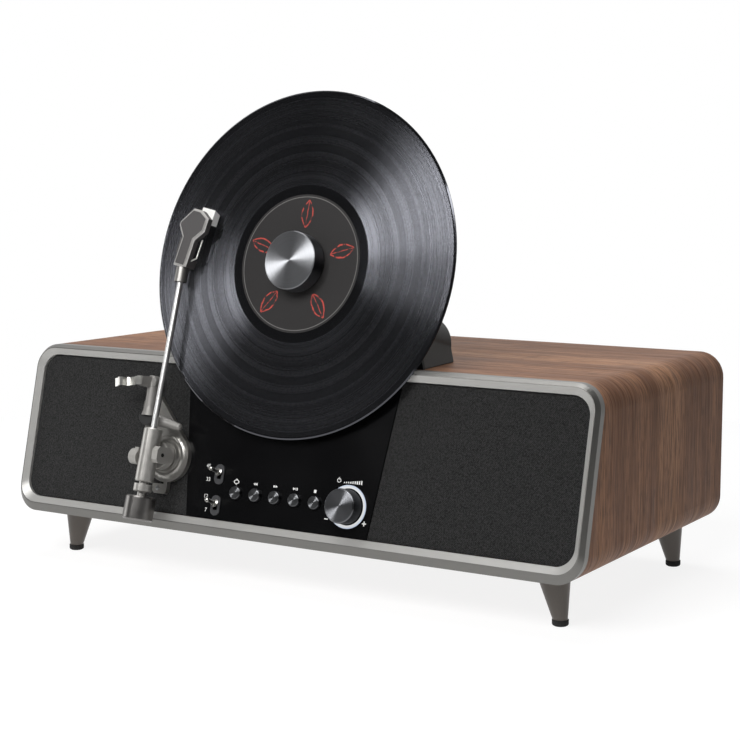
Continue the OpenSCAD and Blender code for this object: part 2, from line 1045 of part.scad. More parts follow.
// Cuts what would reach into the cabinet's roof
module above_roof() {
  difference() {
    children();
    translate([-far / 2, -far / 2, leg_h + body_h - far])
      cube(far);
  }
}

module tower_housing() {
  color("dimgray")
    above_roof()
      on_face()
        difference() {
          tower_form(0);
          tower_form(tower_wall);
        }
}

motor_hole_r = 8;

// Puts children on the motor's shaft
module on_motor() {
  on_record()
    rotate([0, 0, motor_turn])
      translate([motor_gap, 0, 0])
        children();
}

module tower_plate() {
  color("black")
    above_roof()
      difference() {
        on_face()
          translate([0, 0, plate_back_n])
            linear_extrude(plate_t) {
              tower_foot_outline(0);
              tower_head_outline(0);
            }
        on_record()
          translate([0, 0, plate_back_n - cut])
            cylinder(r = bearing_r + seat_gap, h = plate_t + 2 * cut);
        on_motor()
          translate([0, 0, plate_back_n - cut])
            cylinder(r = motor_hole_r, h = plate_t + 2 * cut);
      }
}

collar_r = 13;
collar_t = 2.5;
bearing_front = 1.2;

// A flanged sleeve that carries the platter's shaft
module platter_bearing() {
  color("goldenrod")
    on_record()
      translate([0, 0, plate_back_n])
        difference() {
          union() {
            translate([0, 0, -bearing_len])
              cylinder(r = bearing_r, h = bearing_len + plate_t + bearing_front);
            translate([0, 0, -collar_t])
              cylinder(r = collar_r, h = collar_t);
          }
          translate([0, 0, -bearing_len + cut])
            cylinder(r = shaft_r + run_gap, h = far);
        }
}

boss_r = 6;
boss_t = 2;

// The motor can behind the plate, with its boss in the plate's hole
module drive_motor() {
  color("gray")
    on_motor()
      translate([0, 0, plate_back_n])
        difference() {
          union() {
            translate([0, 0, -motor_len])
              cylinder(r = motor_r, h = motor_len);
            cylinder(r = boss_r, h = boss_t);
          }
          translate([0, 0, -motor_len + cut])
            cylinder(r = motor_shaft_r + run_gap, h = far);
        }
}

pulley_flange = 1;
pulley_flange_t = 0.5;
belt_n = platter_n - belt_rim_h + 0.6;
belt_play = 0.3;

// A flanged pulley on the motor's shaft
module motor_pulley() {
  low = belt_n - belt_play - pulley_flange_t;
  high = belt_n + belt_w + belt_play;
  color("gold")
    on_motor()
      rotate_extrude()
        polygon([
          [0, plate_back_n - motor_len / 2],
          [motor_shaft_r, plate_back_n - motor_len / 2],
          [motor_shaft_r, low],
          [pulley_r + pulley_flange, low],
          [pulley_r + pulley_flange, low + pulley_flange_t],
          [pulley_r, low + pulley_flange_t],
          [pulley_r, high],
          [0, high]
        ]);
}

// The flat belt's loop round the rim and the pulley, with a running gap inside
module belt_loop(grow) {
  rotate([0, 0, motor_turn - 90])
    tapered_link(belt_rim_r + belt_play + grow, pulley_r + belt_play + grow, motor_gap);
}

module drive_belt() {
  color("black")
    on_record()
      translate([0, 0, belt_n])
        linear_extrude(belt_w, $fn = 128)
          difference() {
            belt_loop(belt_t);
            belt_loop(0);
          }
}

rim_t = 5;
web_t = 2;

// A cast platter: a thick rim, a thin web and the belt rim behind it
module platter() {
  color("silver")
    on_record()
      rotate_extrude($fn = 128)
        polygon([
          [shaft_r + run_gap, platter_n - belt_rim_h],
          [shaft_r + web_t + rim_t, platter_n - belt_rim_h],
          [shaft_r + web_t + rim_t, platter_n + web_t],
          [belt_rim_r - web_t, platter_n + web_t],
          [belt_rim_r - web_t, platter_n - belt_rim_h],
          [belt_rim_r, platter_n - belt_rim_h],
          [belt_rim_r, platter_n + web_t],
          [platter_r - rim_t, platter_n + web_t],
          [platter_r - rim_t, platter_n],
          [platter_r, platter_n],
          [platter_r, mat_n],
          [shaft_r + run_gap, mat_n]
        ]);
}

mat_hole_r = 8;

module slipmat() {
  color("dimgray")
    on_record()
      translate([0, 0, mat_n])
        ring(platter_r - 1, mat_hole_r, mat_t);
}

// The platter's shaft, stepped down to the spindle with a round tip
spindle_top = label_n + clamp_h - 4;

module spindle() {
  color("gainsboro")
    on_record()
      rotate_extrude()
        polygon([
          [0, plate_back_n - bearing_len + 2 * cut],
          [shaft_r, plate_back_n - bearing_len + 2 * cut],
          [shaft_r, mat_n],
          [spindle_r, mat_n],
          [spindle_r, spindle_top - 2],
          [spindle_r * 0.7, spindle_top - 0.6],
          [0, spindle_top]
        ]);
}

bead_w = 2.4;
groove_dip = 0.2;

// A pressed record: a thick label field, thinner grooves and a round bead at the rim
module record() {
  color("black")
    on_record()
      rotate_extrude($fn = 128)
        polygon([
          [spindle_r + run_gap, record_n],
          [label_r, record_n],
          [groove_end_r, record_n + groove_dip],
          [record_r - bead_w, record_n + groove_dip],
          [record_r - bead_w / 2, record_n],
          [record_r, record_n + record_t / 3],
          [record_r, record_top_n - record_t / 3],
          [record_r - bead_w / 2, record_top_n],
          [record_r - bead_w, record_top_n - groove_dip],
          [groove_end_r, record_top_n - groove_dip],
          [label_r, record_top_n],
          [spindle_r + run_gap, record_top_n]
        ]);
}

module record_label() {
  color("firebrick")
    on_record()
      translate([0, 0, record_top_n])
        ring(label_r, spindle_r + run_gap, label_t);
}

clamp_bevel = 1;
clamp_foot = 1.5;

// A turned clamp that slides on the spindle
module record_clamp() {
  color("dimgray")
    on_record()
      translate([0, 0, label_n])
        difference() {
          rotate_extrude()
            polygon([
              [0, 0],
              [clamp_r - clamp_foot, 0],
              [clamp_r, clamp_foot],
              [clamp_r, clamp_h - clamp_bevel],
              [clamp_r - clamp_bevel, clamp_h],
              [0, clamp_h]
            ]);
          translate([0, 0, -cut])
            cylinder(r = spindle_r + run_gap, h = spindle_top - label_n + cut + 1);
        }
}

// The arm's base: a teardrop plate with a stepped round turret and a lower ear
tail_r = 11;
tail_d = 48.5;
tail_turn = 28;
side_pull = 0.2;
base_step = 5;
base_n = panel_n + base_step;
base_seat_r = 15;
turret_r = 17;
turret_n = 6;
dome_r = 14;
dome_n = 9;
swing_pin_r = 4;
ear_right = 3.8;
ear_left = -12;
ear_low = -33.5;
ear_top = -24.8;
ear_cut = 2.5;
ear_screw = [-6, -28.8];

// Puts children at the arm's pivot on the face
module on_base() {
  on_face()
    translate([arm_x, arm_s, 0])
      children();
}

module arm_base() {
  color("darkgray")
    on_base()
      difference() {
        union() {
          translate([0, 0, panel_n])
            linear_extrude(base_step) {
              rotate([0, 0, tail_turn])
                tapered_link(base_r, tail_r, tail_d, side_pull);
              polygon([
                [0, 0],
                [ear_right, 0],
                [ear_right, ear_low + ear_cut],
                [ear_right - ear_cut, ear_low],
                [ear_left + ear_cut, ear_low],
                [ear_left, ear_low + ear_cut],
                [ear_left, ear_top],
                [0, ear_top]
              ]);
            }
          rotate_extrude()
            polygon([
              [0, grille_n],
              [base_seat_r, grille_n],
              [base_seat_r, panel_n],
              [base_r - 2, panel_n],
              [base_r - 2, base_n],
              [turret_r + 1, base_n + 1],
              [turret_r, turret_n],
              [dome_r + 1, turret_n],
              [dome_r, dome_n],
              [0, dome_n]
            ]);
          cue_place()
            translate([0, 0, base_n - 1])
              cylinder(r = cue_boss_r, h = cue_boss_n - base_n + 1);
        }
        translate([0, 0, grille_n + 1])
          cylinder(r = swing_pin_r + run_gap, h = far);
        cue_place()
          translate([0, 0, panel_n + 1])
            cylinder(r = cue_pin_r + run_gap, h = far);
      }
}

// The rest: a black half-round collar, a flared post up the face and a bracket out to the spring clip
rest_x = -tail_d * sin(tail_turn);
rest_foot = 33.8;
rest_n = 7.6;
rest_collar_r = 9;
rest_collar_t = 7;
flare_r = 7;
flare_h = 8;
rest_post_r = 4.9;
knuckle_r = 5.8;
knuckle_t = 8.5;
knuckle_n = base_n;
bracket_w = 6.4;
bracket_n = 21.6;
bracket_shift = -4.8;
bracket_root = 11.6;
bracket_end = 8;

module rest_collar() {
  color("black")
    on_base()
      translate([rest_x - 1, rest_foot, base_n])
        difference() {
          bevelled_disc(rest_collar_r, rest_collar_t, 1);
          translate([-far / 2, 0, -cut])
            cube([far, far, rest_collar_t + 2 * cut]);
        }
}

// The bracket seen along the face, and from its side
module rest_bracket() {
  intersection() {
    translate([rest_x, rest_s + bracket_root, 0])
      rotate([90, 0, 0])
        linear_extrude(2 * bracket_root)
          polygon([
            [-bracket_w / 2, knuckle_n + 1],
            [bracket_w / 2, knuckle_n + 1],
            [bracket_w / 2 + bracket_shift, bracket_n],
            [-bracket_w / 2 + bracket_shift, bracket_n]
          ]);
    translate([rest_x - bracket_root, rest_s, 0])
      rotate([90, 0, 90])
        linear_extrude(2 * bracket_root)
          polygon([
            [-bracket_root / 2, knuckle_n],
            [bracket_root / 2 - 0.6, knuckle_n],
            [bracket_end / 2, bracket_n + cut],
            [-bracket_end / 2, bracket_n + cut]
          ]);
  }
}

module rest_post() {
  color("darkgray")
    on_base() {
      difference() {
        translate([rest_x, rest_foot, rest_n])
          rotate([-90, 0, 0])
            rotate_extrude()
              polygon([
                [0, 0],
                [flare_r, 0],
                [rest_post_r, flare_h],
                [rest_post_r, rest_s - rest_foot],
                [0, rest_s - rest_foot]
              ]);
        translate([-far / 2, -far / 2, base_n - far])
          cube(far);
      }
      translate([rest_x, rest_s, knuckle_n])
        bevelled_disc(knuckle_r, knuckle_t, 1);
      rest_bracket();
    }
}

clip_t = 0.9;
clip_h = 7.4;
clip_turn = 9.3;
// The clip's strip seen along the face: its lower side, from the bracket out to the left
clip_path = [
  [3, 0],
  [-4.2, 0],
  [-6.4, -1.8],
  [-11.5, -1.9],
  [-14.6, -0.4],
  [-15.6, 4.6],
  [-17, 6.2],
  [-18.8, 5.4],
  [-21, 2.6],
  [-25.4, 1.2]
];
// The same strip's upper side
clip_back = [
  [-25.6, 2.1],
  [-21.5, 3.4],
  [-19.2, 6.2],
  [-16.7, 7.2],
  [-14.8, 5.1],
  [-13.9, 0.2],
  [-11.3, -1],
  [-6.2, -0.9],
  [-4, clip_t],
  [3, clip_t]
];

module rest_clip() {
  color("gainsboro")
    on_base()
      translate([rest_x + bracket_shift, rest_s, bracket_n])
        rotate([0, 0, clip_turn])
          translate([0, clip_h / 2, 0])
            rotate([90, 0, 0])
              linear_extrude(clip_h)
                polygon(concat(clip_path, clip_back));
}

// The cue lift: a round bar under the tube, on a pin in the base
cue_s = 29.1;
cue_from = -4;
cue_to = 22;
cue_turn = -10;
cue_root_r = 5.3;
cue_tip_r = 3.3;
cue_end = 2;
cue_n = 17;
cue_pin_x = -2;
cue_pin_r = 2;
cue_boss_r = 4.2;
cue_boss_n = 9;

module cue_place() {
  translate([0, cue_s, 0])
    rotate([0, 0, cue_turn])
      translate([cue_pin_x, 0, 0])
        children();
}

// A turned bar across the tube, tapered to a round end
module cue_lift_bar() {
  color("darkgray")
    on_base() {
      translate([0, cue_s, cue_n])
        rotate([0, 0, cue_turn])
          translate([cue_from, 0, 0])
            rotate([0, 90, 0])
              rotate_extrude()
                polygon([
                  [0, 0],
                  [cue_root_r - 1, 0],
                  [cue_root_r, 1],
                  [cue_tip_r, cue_to - cue_from - cue_end],
                  [cue_tip_r * 0.85, cue_to - cue_from - cue_end * 0.5],
                  [cue_tip_r * 0.5, cue_to - cue_from - cue_end * 0.1],
                  [0, cue_to - cue_from]
                ]);
      cue_place()
        translate([0, 0, panel_n + 1 + move_gap])
          cylinder(r = cue_pin_r, h = cue_n - panel_n - 1 - move_gap);
    }
}

// The yoke: a drum on the swing pin, an eight-sided block on the right and a round cap on the left
fork_gap = 0.9;
fork_in = housing_r + fork_gap;
block_w = 5.7;
block_h = 14.4;
block_front = 7.4;
block_cut = 3;
cap_len = 9;
cap_end_r = 6.9;
cap_drop = 4.1;
cheek_w = 4;
cheek_high = 4;
drum_r = 12.5;
drum_t = 9;
drum_n = dome_n + move_gap;
drum_step = 0.8;
trunnion_r = 2;
trunnion_reach = 3;
trunnion_len = 2 * (fork_in + trunnion_reach);

module arm_yoke() {
  block_n = drum_n + drum_t - 2;
  color("darkgray")
    on_base()
      rotate([0, 0, -arm_swing])
        difference() {
          union() {
            rotate_extrude()
              polygon([
                [0, grille_n + 2],
                [swing_pin_r, grille_n + 2],
                [swing_pin_r, drum_n],
                [drum_r, drum_n],
                [drum_r, drum_n + drum_t - drum_step],
                [drum_r - drum_step, drum_n + drum_t],
                [0, drum_n + drum_t]
              ]);
            translate([fork_in, 0, 0])
              rotate([90, 0, 90])
                linear_extrude(block_w)
                  polygon([
                    [-block_h / 2 + block_cut, block_n],
                    [block_h / 2 - block_cut, block_n],
                    [block_h / 2, block_n + block_cut],
                    [block_h / 2, arm_n + block_front - block_cut],
                    [block_h / 2 - block_cut, arm_n + block_front],
                    [-block_h / 2 + block_cut, arm_n + block_front],
                    [-block_h / 2, arm_n + block_front - block_cut],
                    [-block_h / 2, block_n + block_cut]
                  ]);
            translate([-fork_in - cheek_w, -cap_drop - cheek_high, block_n])
              cube([cheek_w, cap_drop + 2 * cheek_high, arm_n + cheek_high - block_n]);
            translate([-fork_in, -cap_drop, arm_n])
              rotate([0, -90, 0])
                bevelled_disc(cap_end_r, cap_len, 1);
          }
          translate([-trunnion_len / 2 - cut / 2, 0, arm_n])
            rotate([0, 90, 0])
              cylinder(r = trunnion_r + run_gap, h = trunnion_len + cut);
        }
}

flat_bevel = 1;

// The pivot housing with its trunnion pins, neck ring and threaded stub
module pivot_housing() {
  color("darkgray")
    on_arm() {
      rotate([90, 0, 0])
        translate([0, 0, -housing_up])
          difference() {
            rotate_extrude()
              polygon([
                [0, 0],
                [housing_r - flat_bevel, 0],
                [housing_r, flat_bevel],
                [housing_r, housing_up + housing_down - flat_bevel],
                [housing_r - flat_bevel, housing_up + housing_down],
                [stub_r, housing_up + housing_down],
                [stub_r, housing_up + housing_down + neck_gap],
                [housing_r, housing_up + housing_down + neck_gap],
                [housing_r, housing_up + neck_end - flat_bevel],
                [housing_r - flat_bevel, housing_up + neck_end],
                [stub_r, housing_up + neck_end],
                [stub_r, housing_up + stub_end],
                [0, housing_up + stub_end]
              ]);
            translate([0, 0, -cut])
              cylinder(r = tube_r + seat_gap, h = tube_seat + cut);
          }
      rotate([0, 90, 0])
        cylinder(r = trunnion_r, h = trunnion_len, center = true);
    }
}

tube_seat = 12;
collar_len = 13;
arm_collar_r = 5.6;
head_seat = 4;

// The chrome tube with the headshell's collar at its end
module arm_tube() {
  color("gainsboro")
    on_arm()
      rotate([-90, 0, 0]) {
        translate([0, 0, housing_up - tube_seat])
          cylinder(r = tube_r, h = tube_len - housing_up + tube_seat + head_seat);
        translate([0, 0, tube_len - collar_len])
          cylinder(r = arm_collar_r, h = collar_len - seat_gap);
      }
}

// The headshell's outline: a straight neck, a wide nose whose right side runs on, and a narrow tip
nose_from = 25.6;
nose_wide = 35;
nose_left = 38.2;
nose_right = 47;
tip_left = -4.3;
tip_right = 5.2;
head_up = 6.8;
head_down = 0.4;
head_bevel = 1.4;
shell_t = 1.6;
// The lug under the neck and the tab on its left
lug_w = 12;
lug_len = 9;
lug_drop = 6.5;
tab_w = 2.4;
tab_from = 11.5;
tab_to = 25;
tab_low = 2;
tab_t = 3;

module head_outline(inset) {
  polygon([
    [-neck_w / 2 + inset, inset],
    [neck_w / 2 - inset, inset],
    [neck_w / 2 - inset, nose_from + inset / 2],
    [head_w / 2 - inset, nose_wide + inset / 2],
    [head_w / 2 - inset, nose_right - inset / 4],
    [tip_right - inset / 2, head_len - inset],
    [tip_left + inset / 2, head_len - inset],
    [-head_w / 2 + inset, nose_left - inset / 4],
    [-head_w / 2 + inset, nose_wide + inset / 4],
    [-neck_w / 2 + inset, nose_from + inset / 4]
  ]);
}

// A moulded shell with a stepped bevel, hollow underneath
module headshell() {
  color("dimgray")
    on_head()
      difference() {
        union() {
          translate([0, 0, -head_down])
            linear_extrude(head_down + head_up - head_bevel)
              head_outline(0);
          translate([0, 0, head_up - head_bevel - slice])
            linear_extrude(head_bevel / 2 + slice)
              head_outline(head_bevel / 2);
          translate([0, 0, head_up - head_bevel / 2 - slice])
            linear_extrude(head_bevel / 2 + slice)
              head_outline(head_bevel);
          translate([-neck_w / 2 - tab_w, tab_from, tab_low])
            cube([tab_w + cut, tab_to - tab_from, tab_t]);
          translate([neck_w / 2 - lug_w, 0, -head_down - lug_drop])
            cube([lug_w, lug_len, lug_drop + cut]);
        }
        translate([0, 0, -head_down - cut])
          linear_extrude(cut + shell_t)
            head_outline(shell_t);
        rotate([0, 0, head_offset])
          translate([-far / 2, -far, -far / 2])
            cube(far);
        rotate([-90, 0, head_offset])
          translate([0, 0, -cut])
            cylinder(r = tube_r + seat_gap, h = head_seat + 2 * cut);
      }
}

cart_left = -0.5;
cart_right = 13.8;
cart_from = 43;
cart_to = 56.2;
cart_slant = 2.4;
cart_drop = 8.6;
cart_seat_w = 7;

// The cartridge hangs under the nose, its end slanting back, with a seat up in the shell's hollow
module cartridge() {
  seat_top = shell_t - head_down;
  color("white")
    on_head() {
      translate([cart_left, 0, 0])
        rotate([90, 0, 90])
          linear_extrude(cart_right - cart_left)
            polygon([
              [cart_from, -head_down - cart_drop],
              [cart_to - cart_slant, -head_down - cart_drop],
              [cart_to, -head_down],
              [cart_from, -head_down]
            ]);
      translate([cart_left + shell_t, cart_from, -head_down - cut])
        cube([cart_seat_w, nose_right - cart_from, seat_top + head_down + cut]);
    }
}

stylus_r = 0.7;
stylus_end_r = 0.2;

module stylus() {
  color("firebrick")
    on_head()
      translate([stylus_x, stylus_y, -stylus_drop])
        cylinder(r1 = stylus_end_r, r2 = stylus_r, h = stylus_drop - head_down - cart_drop);
}

wire_r = 0.8;
lift_x = 11.6;
lift_low = 8;
lift_bend = 11.4;
lift_high = 27.4;
lift_n = 0.5;

// A bent wire beside the neck, cut flush with it
module finger_lift() {
  reach = lift_x - neck_w / 2;
  bend = atan2(lift_bend - lift_low, reach);
  color("gainsboro")
    on_head()
      translate([0, 0, lift_n]) {
        difference() {
          translate([lift_x, lift_bend, 0])
            rotate([0, -90, bend])
              cylinder(r = wire_r, h = norm([reach, lift_bend - lift_low]) + 2 * wire_r);
          translate([neck_w / 2 - far, -far / 2, -far / 2])
            cube(far);
        }
        translate([lift_x, lift_bend, 0])
          sphere(r = wire_r);
        translate([lift_x, lift_bend, 0])
          rotate([-90, 0, 0])
            cylinder(r = wire_r, h = lift_high - lift_bend);
        translate([lift_x, lift_high, 0])
          sphere(r = wire_r);
      }
}

weight_bevel = 1;

// The counterweight slides on the stub
module counterweight() {
  color("dimgray")
    on_arm()
      rotate([90, 0, 0])
        difference() {
          rotate_extrude()
            polygon([
              [0, weight_top],
              [weight_r - weight_bevel, weight_top],
              [weight_r, weight_top + weight_bevel],
              [weight_r, weight_end - weight_bevel],
              [weight_r - weight_bevel, weight_end],
              [0, weight_end]
            ]);
          translate([0, 0, weight_top - cut])
            cylinder(r = stub_r + run_gap, h = weight_len - weight_cap + cut);
        }
}

arm_screw_r = 2.2;

// The screws in the base's ear and beside its tail
module arm_screws() {
  color("silver")
    on_base() {
      translate([ear_screw[0], ear_screw[1], base_n])
        screw_head(arm_screw_r, screw_h);
      rotate([0, 0, tail_turn])
        translate([-tail_r, tail_d / 2, base_n])
          screw_head(arm_screw_r, screw_h);
    }
}

cabinet_shell();
front_bezel();
baffle_board();
left_grille();
right_grille();
control_panel();
left_speaker();
right_speaker();
speaker_cones();
back_panel();
back_screws();
jack_plate();
line_out_jacks();
power_inlet();
amplifier_board();
control_board();
toggle_switches();
volume_control();
toggle_plates();
led_ring();
volume_knob();
speed_toggle();
size_toggle();
source_button();
previous_button();
next_button();
play_button();
stop_button();
leg_front_left();
leg_front_right();
leg_rear_left();
leg_rear_right();
leg_tips();
tower_housing();
tower_plate();
platter_bearing();
drive_motor();
motor_pulley();
drive_belt();
platter();
slipmat();
spindle();
record();
record_label();
record_clamp();
arm_base();
rest_collar();
rest_post();
rest_clip();
cue_lift_bar();
arm_yoke();
pivot_housing();
arm_tube();
headshell();
cartridge();
stylus();
finger_lift();
counterweight();
arm_screws();
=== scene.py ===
import json
import math

import bpy
from mathutils import Matrix, Vector


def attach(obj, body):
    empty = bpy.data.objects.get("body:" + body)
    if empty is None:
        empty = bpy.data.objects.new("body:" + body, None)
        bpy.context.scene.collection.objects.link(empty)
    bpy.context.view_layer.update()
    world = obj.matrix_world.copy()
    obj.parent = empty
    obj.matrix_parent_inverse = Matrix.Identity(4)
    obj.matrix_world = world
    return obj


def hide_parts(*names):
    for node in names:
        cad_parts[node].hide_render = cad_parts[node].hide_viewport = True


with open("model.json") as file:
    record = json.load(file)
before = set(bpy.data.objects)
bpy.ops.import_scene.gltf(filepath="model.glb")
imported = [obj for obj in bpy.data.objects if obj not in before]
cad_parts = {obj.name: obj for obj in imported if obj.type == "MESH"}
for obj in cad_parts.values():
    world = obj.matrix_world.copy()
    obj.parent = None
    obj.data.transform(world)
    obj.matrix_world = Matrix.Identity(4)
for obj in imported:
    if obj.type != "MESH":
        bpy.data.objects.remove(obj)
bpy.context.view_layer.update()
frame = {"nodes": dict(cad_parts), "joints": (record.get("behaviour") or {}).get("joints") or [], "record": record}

bl_info = {
    "name": "Vertical Record Player",
    "version": (1, 0, 0),
    "blender": (4, 5, 0),
    "location": "View3D > Sidebar > Record Player",
    "description": "Finishes the packed record player: wood, metal, cloth, print and stage",
    "category": "Object",
}

NODES = frame["nodes"]
JOINTS = {j["name"]: j for j in frame["joints"]}
BODY_OF = {n: b for b, ns in frame["record"]["behaviour"]["bodies"].items() for n in ns}

# The setting that the second word of a node's kind is a choice of
NODE_CHOICES = {
    "Math": "operation",
    "VectorMath": "operation",
    "Mix": "data_type",
    "MapRange": "interpolation_type",
    "TexNoise": "noise_dimensions",
}

MM = 0.001
TILT = math.radians(13.5)
ROOF_Z = 194 * MM
RECORD_C = Vector(JOINTS["platter_spin"]["pos_m"])
FACE_N = Vector(JOINTS["platter_spin"]["axis"])
PIVOT = Vector(JOINTS["arm_lift"]["pos_m"])
KNOB_C = Vector(JOINTS["volume_turn"]["pos_m"])
# The foot of the leaning front, found back from the record's centre up it
RECORD_UP = 238.4 * MM
FACE_FOOT = RECORD_C - RECORD_UP * Vector((0, math.sin(TILT), math.cos(TILT)))
# What sets a flat drawing, across and up, on the leaning front
ON_FACE = Matrix.Translation(FACE_FOOT) @ Matrix.Rotation(math.pi / 2 - TILT, 4, "X")
FACE_MID = ON_FACE @ Vector((0, 76 * MM, 0))
# The arm at rest: its swing, its dip, and the headshell at its end
ARM_SWING = math.radians(1.5)
ARM_DIP = math.radians(2.407)
ON_ARM = (
    Matrix.Translation(PIVOT)
    @ Matrix.Rotation(math.pi / 2 - TILT, 4, "X")
    @ Matrix.Rotation(-ARM_SWING, 4, "Z")
    @ Matrix.Rotation(-ARM_DIP, 4, "X")
)
HEAD_TURN = math.radians(10.5)
ARM_REACH = 165.3 * MM
ON_HEAD = ON_ARM @ Matrix.Translation((0, ARM_REACH, 0)) @ Matrix.Rotation(-HEAD_TURN, 4, "Z")
COLLAR_AT = 152.2 * MM
# Heights on the headshell between which its bevel, painted lighter as a highlight, starts and ends
BEVEL_FOOT = (5.2 * MM, 5.4 * MM)
BEVEL_TOP = (6.72 * MM, 6.78 * MM)
# The painted highlight line round the headshell's face, and the screw in the yoke's end
RIM_HIGHLIGHT_W = 0.7 * MM
RIM_HIGHLIGHT_LIFT = 0.1 * MM
SCREW_R = 1.7 * MM
SCREW_HEAD = 0.6 * MM
SCREW_CHAMFER = 0.25 * MM
SCREW_CROWN = 0.2 * MM
SCREW_RIM = 0.55 * MM
# Places on the front, in millimetres across, up the slope and out of it
PANEL_N = -1.5
BUTTON_PITCH = 20.3
BUTTON_X = -1.6
BUTTON_S = 39.0
ICON_X = -2.8
ICON_S = 48.4
LOOP_R = 1.9
ARROW_STEP = 1.1
MINUS_AT = (51.7, 26.9)
PLUS_AT = (88.9, 26.9)
POWER_X = 60.0
POWER_S = 60.0
LEVEL_X = 65.2
LEVEL_S = 58.2
LEVEL_PITCH = 2.1
PRINT_GAP = 0.01
# How tall the font's figures are for its size, and each number with its place
FIGURE_SHARE = 0.72
NUMERALS = (("45", -75.0, 59.1), ("33", -73.7, 47.6), ("12", -74.0, 33.0), ("7", -72.3, 21.2))
# Radii of the turned pieces and of the record's zones, in millimetres
CLAMP_R = 25.4
KNOB_R = 14.5
BUTTON_R = 5.7
LABEL_HIGHLIGHT_R = 57.6
GROOVES_IN = 68.6
RUN_OUT_R = 80.0
LEAD_IN_R = 143.6
GROOVES_OUT = 148.8
TRACK_GAPS = (80, 98, 112, 127)
# Spans of radius over which the lit ring's plastic darkens and its glow cools
RING_SPAN = (15 * MM, 19 * MM)
GLOW_SPAN = (16.4 * MM, 18 * MM)
# The leaves on the label: how many, their turn, their middle's radius, length and width
LEAVES = 5
LEAF_TURN = 0.35
LEAF_AT = 43 * MM
LEAF_L = 24 * MM
LEAF_W = 11 * MM
# The weave as it is drawn, and the pale streak in the veneer
THREAD_PITCH = 1.6 * MM
PALE_STREAK_Y = 50 * MM
PALE_STREAK_SWAY = 80 * MM
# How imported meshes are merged, and what counts as flat, sharp or smooth on them
MERGE_GAP = 1e-6
FLAT_ANGLE = math.radians(0.5)
SHARP_ANGLE = math.radians(30)
SMOOTH_ANGLE = math.radians(28)
# The camera as it was fitted to the photograph: its place from the front's foot, bearing and lens
EYE = Vector((810.1, -1141.1, 318.9)) * MM
VIEW_AZIMUTH = math.radians(31.91)
VIEW_ELEVATION = math.radians(6.99)
LENS_MM = 82.26
SENSOR_MM = 36
# The floor's radius, and the lamps: name, width and height, watts, place and aim
FLOOR_R = 1.0
LAMPS = (
    ("key softbox", (1.5, 0.9), 40, (0.15, -1.65, 1.5), (0, 0, 0.2)),
    ("top softbox", (1.4, 1.0), 22, (-0.3, 0.35, 2.0), (0, 0.02, 0.2)),
    # Left of the front, narrow: draws the fans on the record and a line down each round piece
    ("strip light", (0.12, 0.62), 6.5, (-0.584, -1.685, 1.12), (0, 0, 0.2)),
    ("left softbox", (1.0, 0.6), 4, (-2.4, -0.9, 0.35), (0, 0, 0.25)),
)


def hex_linear(code):
    """The linear colour of an sRGB hex value."""
    parts = [int(code[i:i + 2], 16) / 255 for i in (1, 3, 5)]
    return [c / 12.92 if c <= 0.04045 else ((c + 0.055) / 1.055) ** 2.4 for c in parts]


def rgba(code):
    """The same with an alpha of one."""
    return (*hex_linear(code), 1.0)


def scaled(colour, *factors):
    """A colour property as a value with alpha, each part times its factor and no more than one."""
    factors = factors if len(factors) == 3 else factors * 3
    return (*(min(1, k * c) for k, c in zip(factors, colour)), 1.0)


class RecordPlayerColours(bpy.types.PropertyGroup):
    """Colours of the finishes, the print and the light"""
    walnut: bpy.props.FloatVectorProperty(
        name="Walnut", description="Mid tone of the veneer", subtype="COLOR",
        default=hex_linear("#7C553C"), min=0, max=1)
    bezel: bpy.props.FloatVectorProperty(
        name="Bezel", description="Brushed metal round the front", subtype="COLOR",
        default=hex_linear("#777673"), min=0, max=1)
    cloth: bpy.props.FloatVectorProperty(
        name="Grille cloth", description="Cloth over the loudspeakers", subtype="COLOR",
        default=hex_linear("#161616"), min=0, max=1)
    ink: bpy.props.FloatVectorProperty(
        name="Label ink", description="Printed marks on the record's label", subtype="COLOR",
        default=hex_linear("#A83E35"), min=0, max=1)
    light: bpy.props.FloatVectorProperty(
        name="Ring light", description="Light round the volume knob", subtype="COLOR",
        default=hex_linear("#DCE8FF"), min=0, max=1)


class RecordPlayerSizes(bpy.types.PropertyGroup):
    """Sizes of the rounded edges and the print"""
    edge_round: bpy.props.FloatProperty(
        name="Edge rounding", description="Rounding of small cast and moulded edges",
        default=0.5 * MM, min=0.1 * MM, max=1.0 * MM, unit="LENGTH")
    numeral_height: bpy.props.FloatProperty(
        name="Numeral height", description="Height of the printed numbers by the levers",
        default=3.4 * MM, min=2 * MM, max=6 * MM, unit="LENGTH")
    print_lift: bpy.props.FloatProperty(
        name="Print thickness", description="Thickness of the printed marks",
        default=0.06 * MM, min=0.02 * MM, max=0.2 * MM, unit="LENGTH")


def feed(tree, socket, value):
    """Gives a node's input a value, or links it to another node's output."""
    if isinstance(value, bpy.types.NodeSocket):
        tree.links.new(value, socket)
    else:
        socket.default_value = value


def put(tree, kind, *inputs, out=None, **named):
    """Adds one node and gives its first open output, or the one that out names.

    A kind may be followed by its main choice, as in "Math MULTIPLY". Inputs are values or outputs, in
    the order in which the node shows them, and named ones are its inputs or its settings.
    """
    kind, _, choice = kind.partition(" ")
    node = tree.nodes.new("ShaderNode" + kind)
    if choice:
        setattr(node, NODE_CHOICES[kind], choice)
    for socket, value in zip([s for s in node.inputs if s.enabled], inputs):
        feed(tree, socket, value)
    for key, value in named.items():
        if key in node.inputs:
            feed(tree, node.inputs[key], value)
        else:
            setattr(node, key, value)
    return node.outputs[out] if out else next(s for s in node.outputs if s.enabled)


def new_material(name):
    """A new material and its node tree."""
    mat = bpy.data.materials.new(name)
    mat.use_nodes = True
    return mat, mat.node_tree


def dress(mat, inputs):
    """Feeds the inputs of a material's surface, and gives the material back."""
    surface = mat.node_tree.nodes["Principled BSDF"]
    for key, value in inputs.items():
        feed(mat.node_tree, surface.inputs[key], value)
    return mat


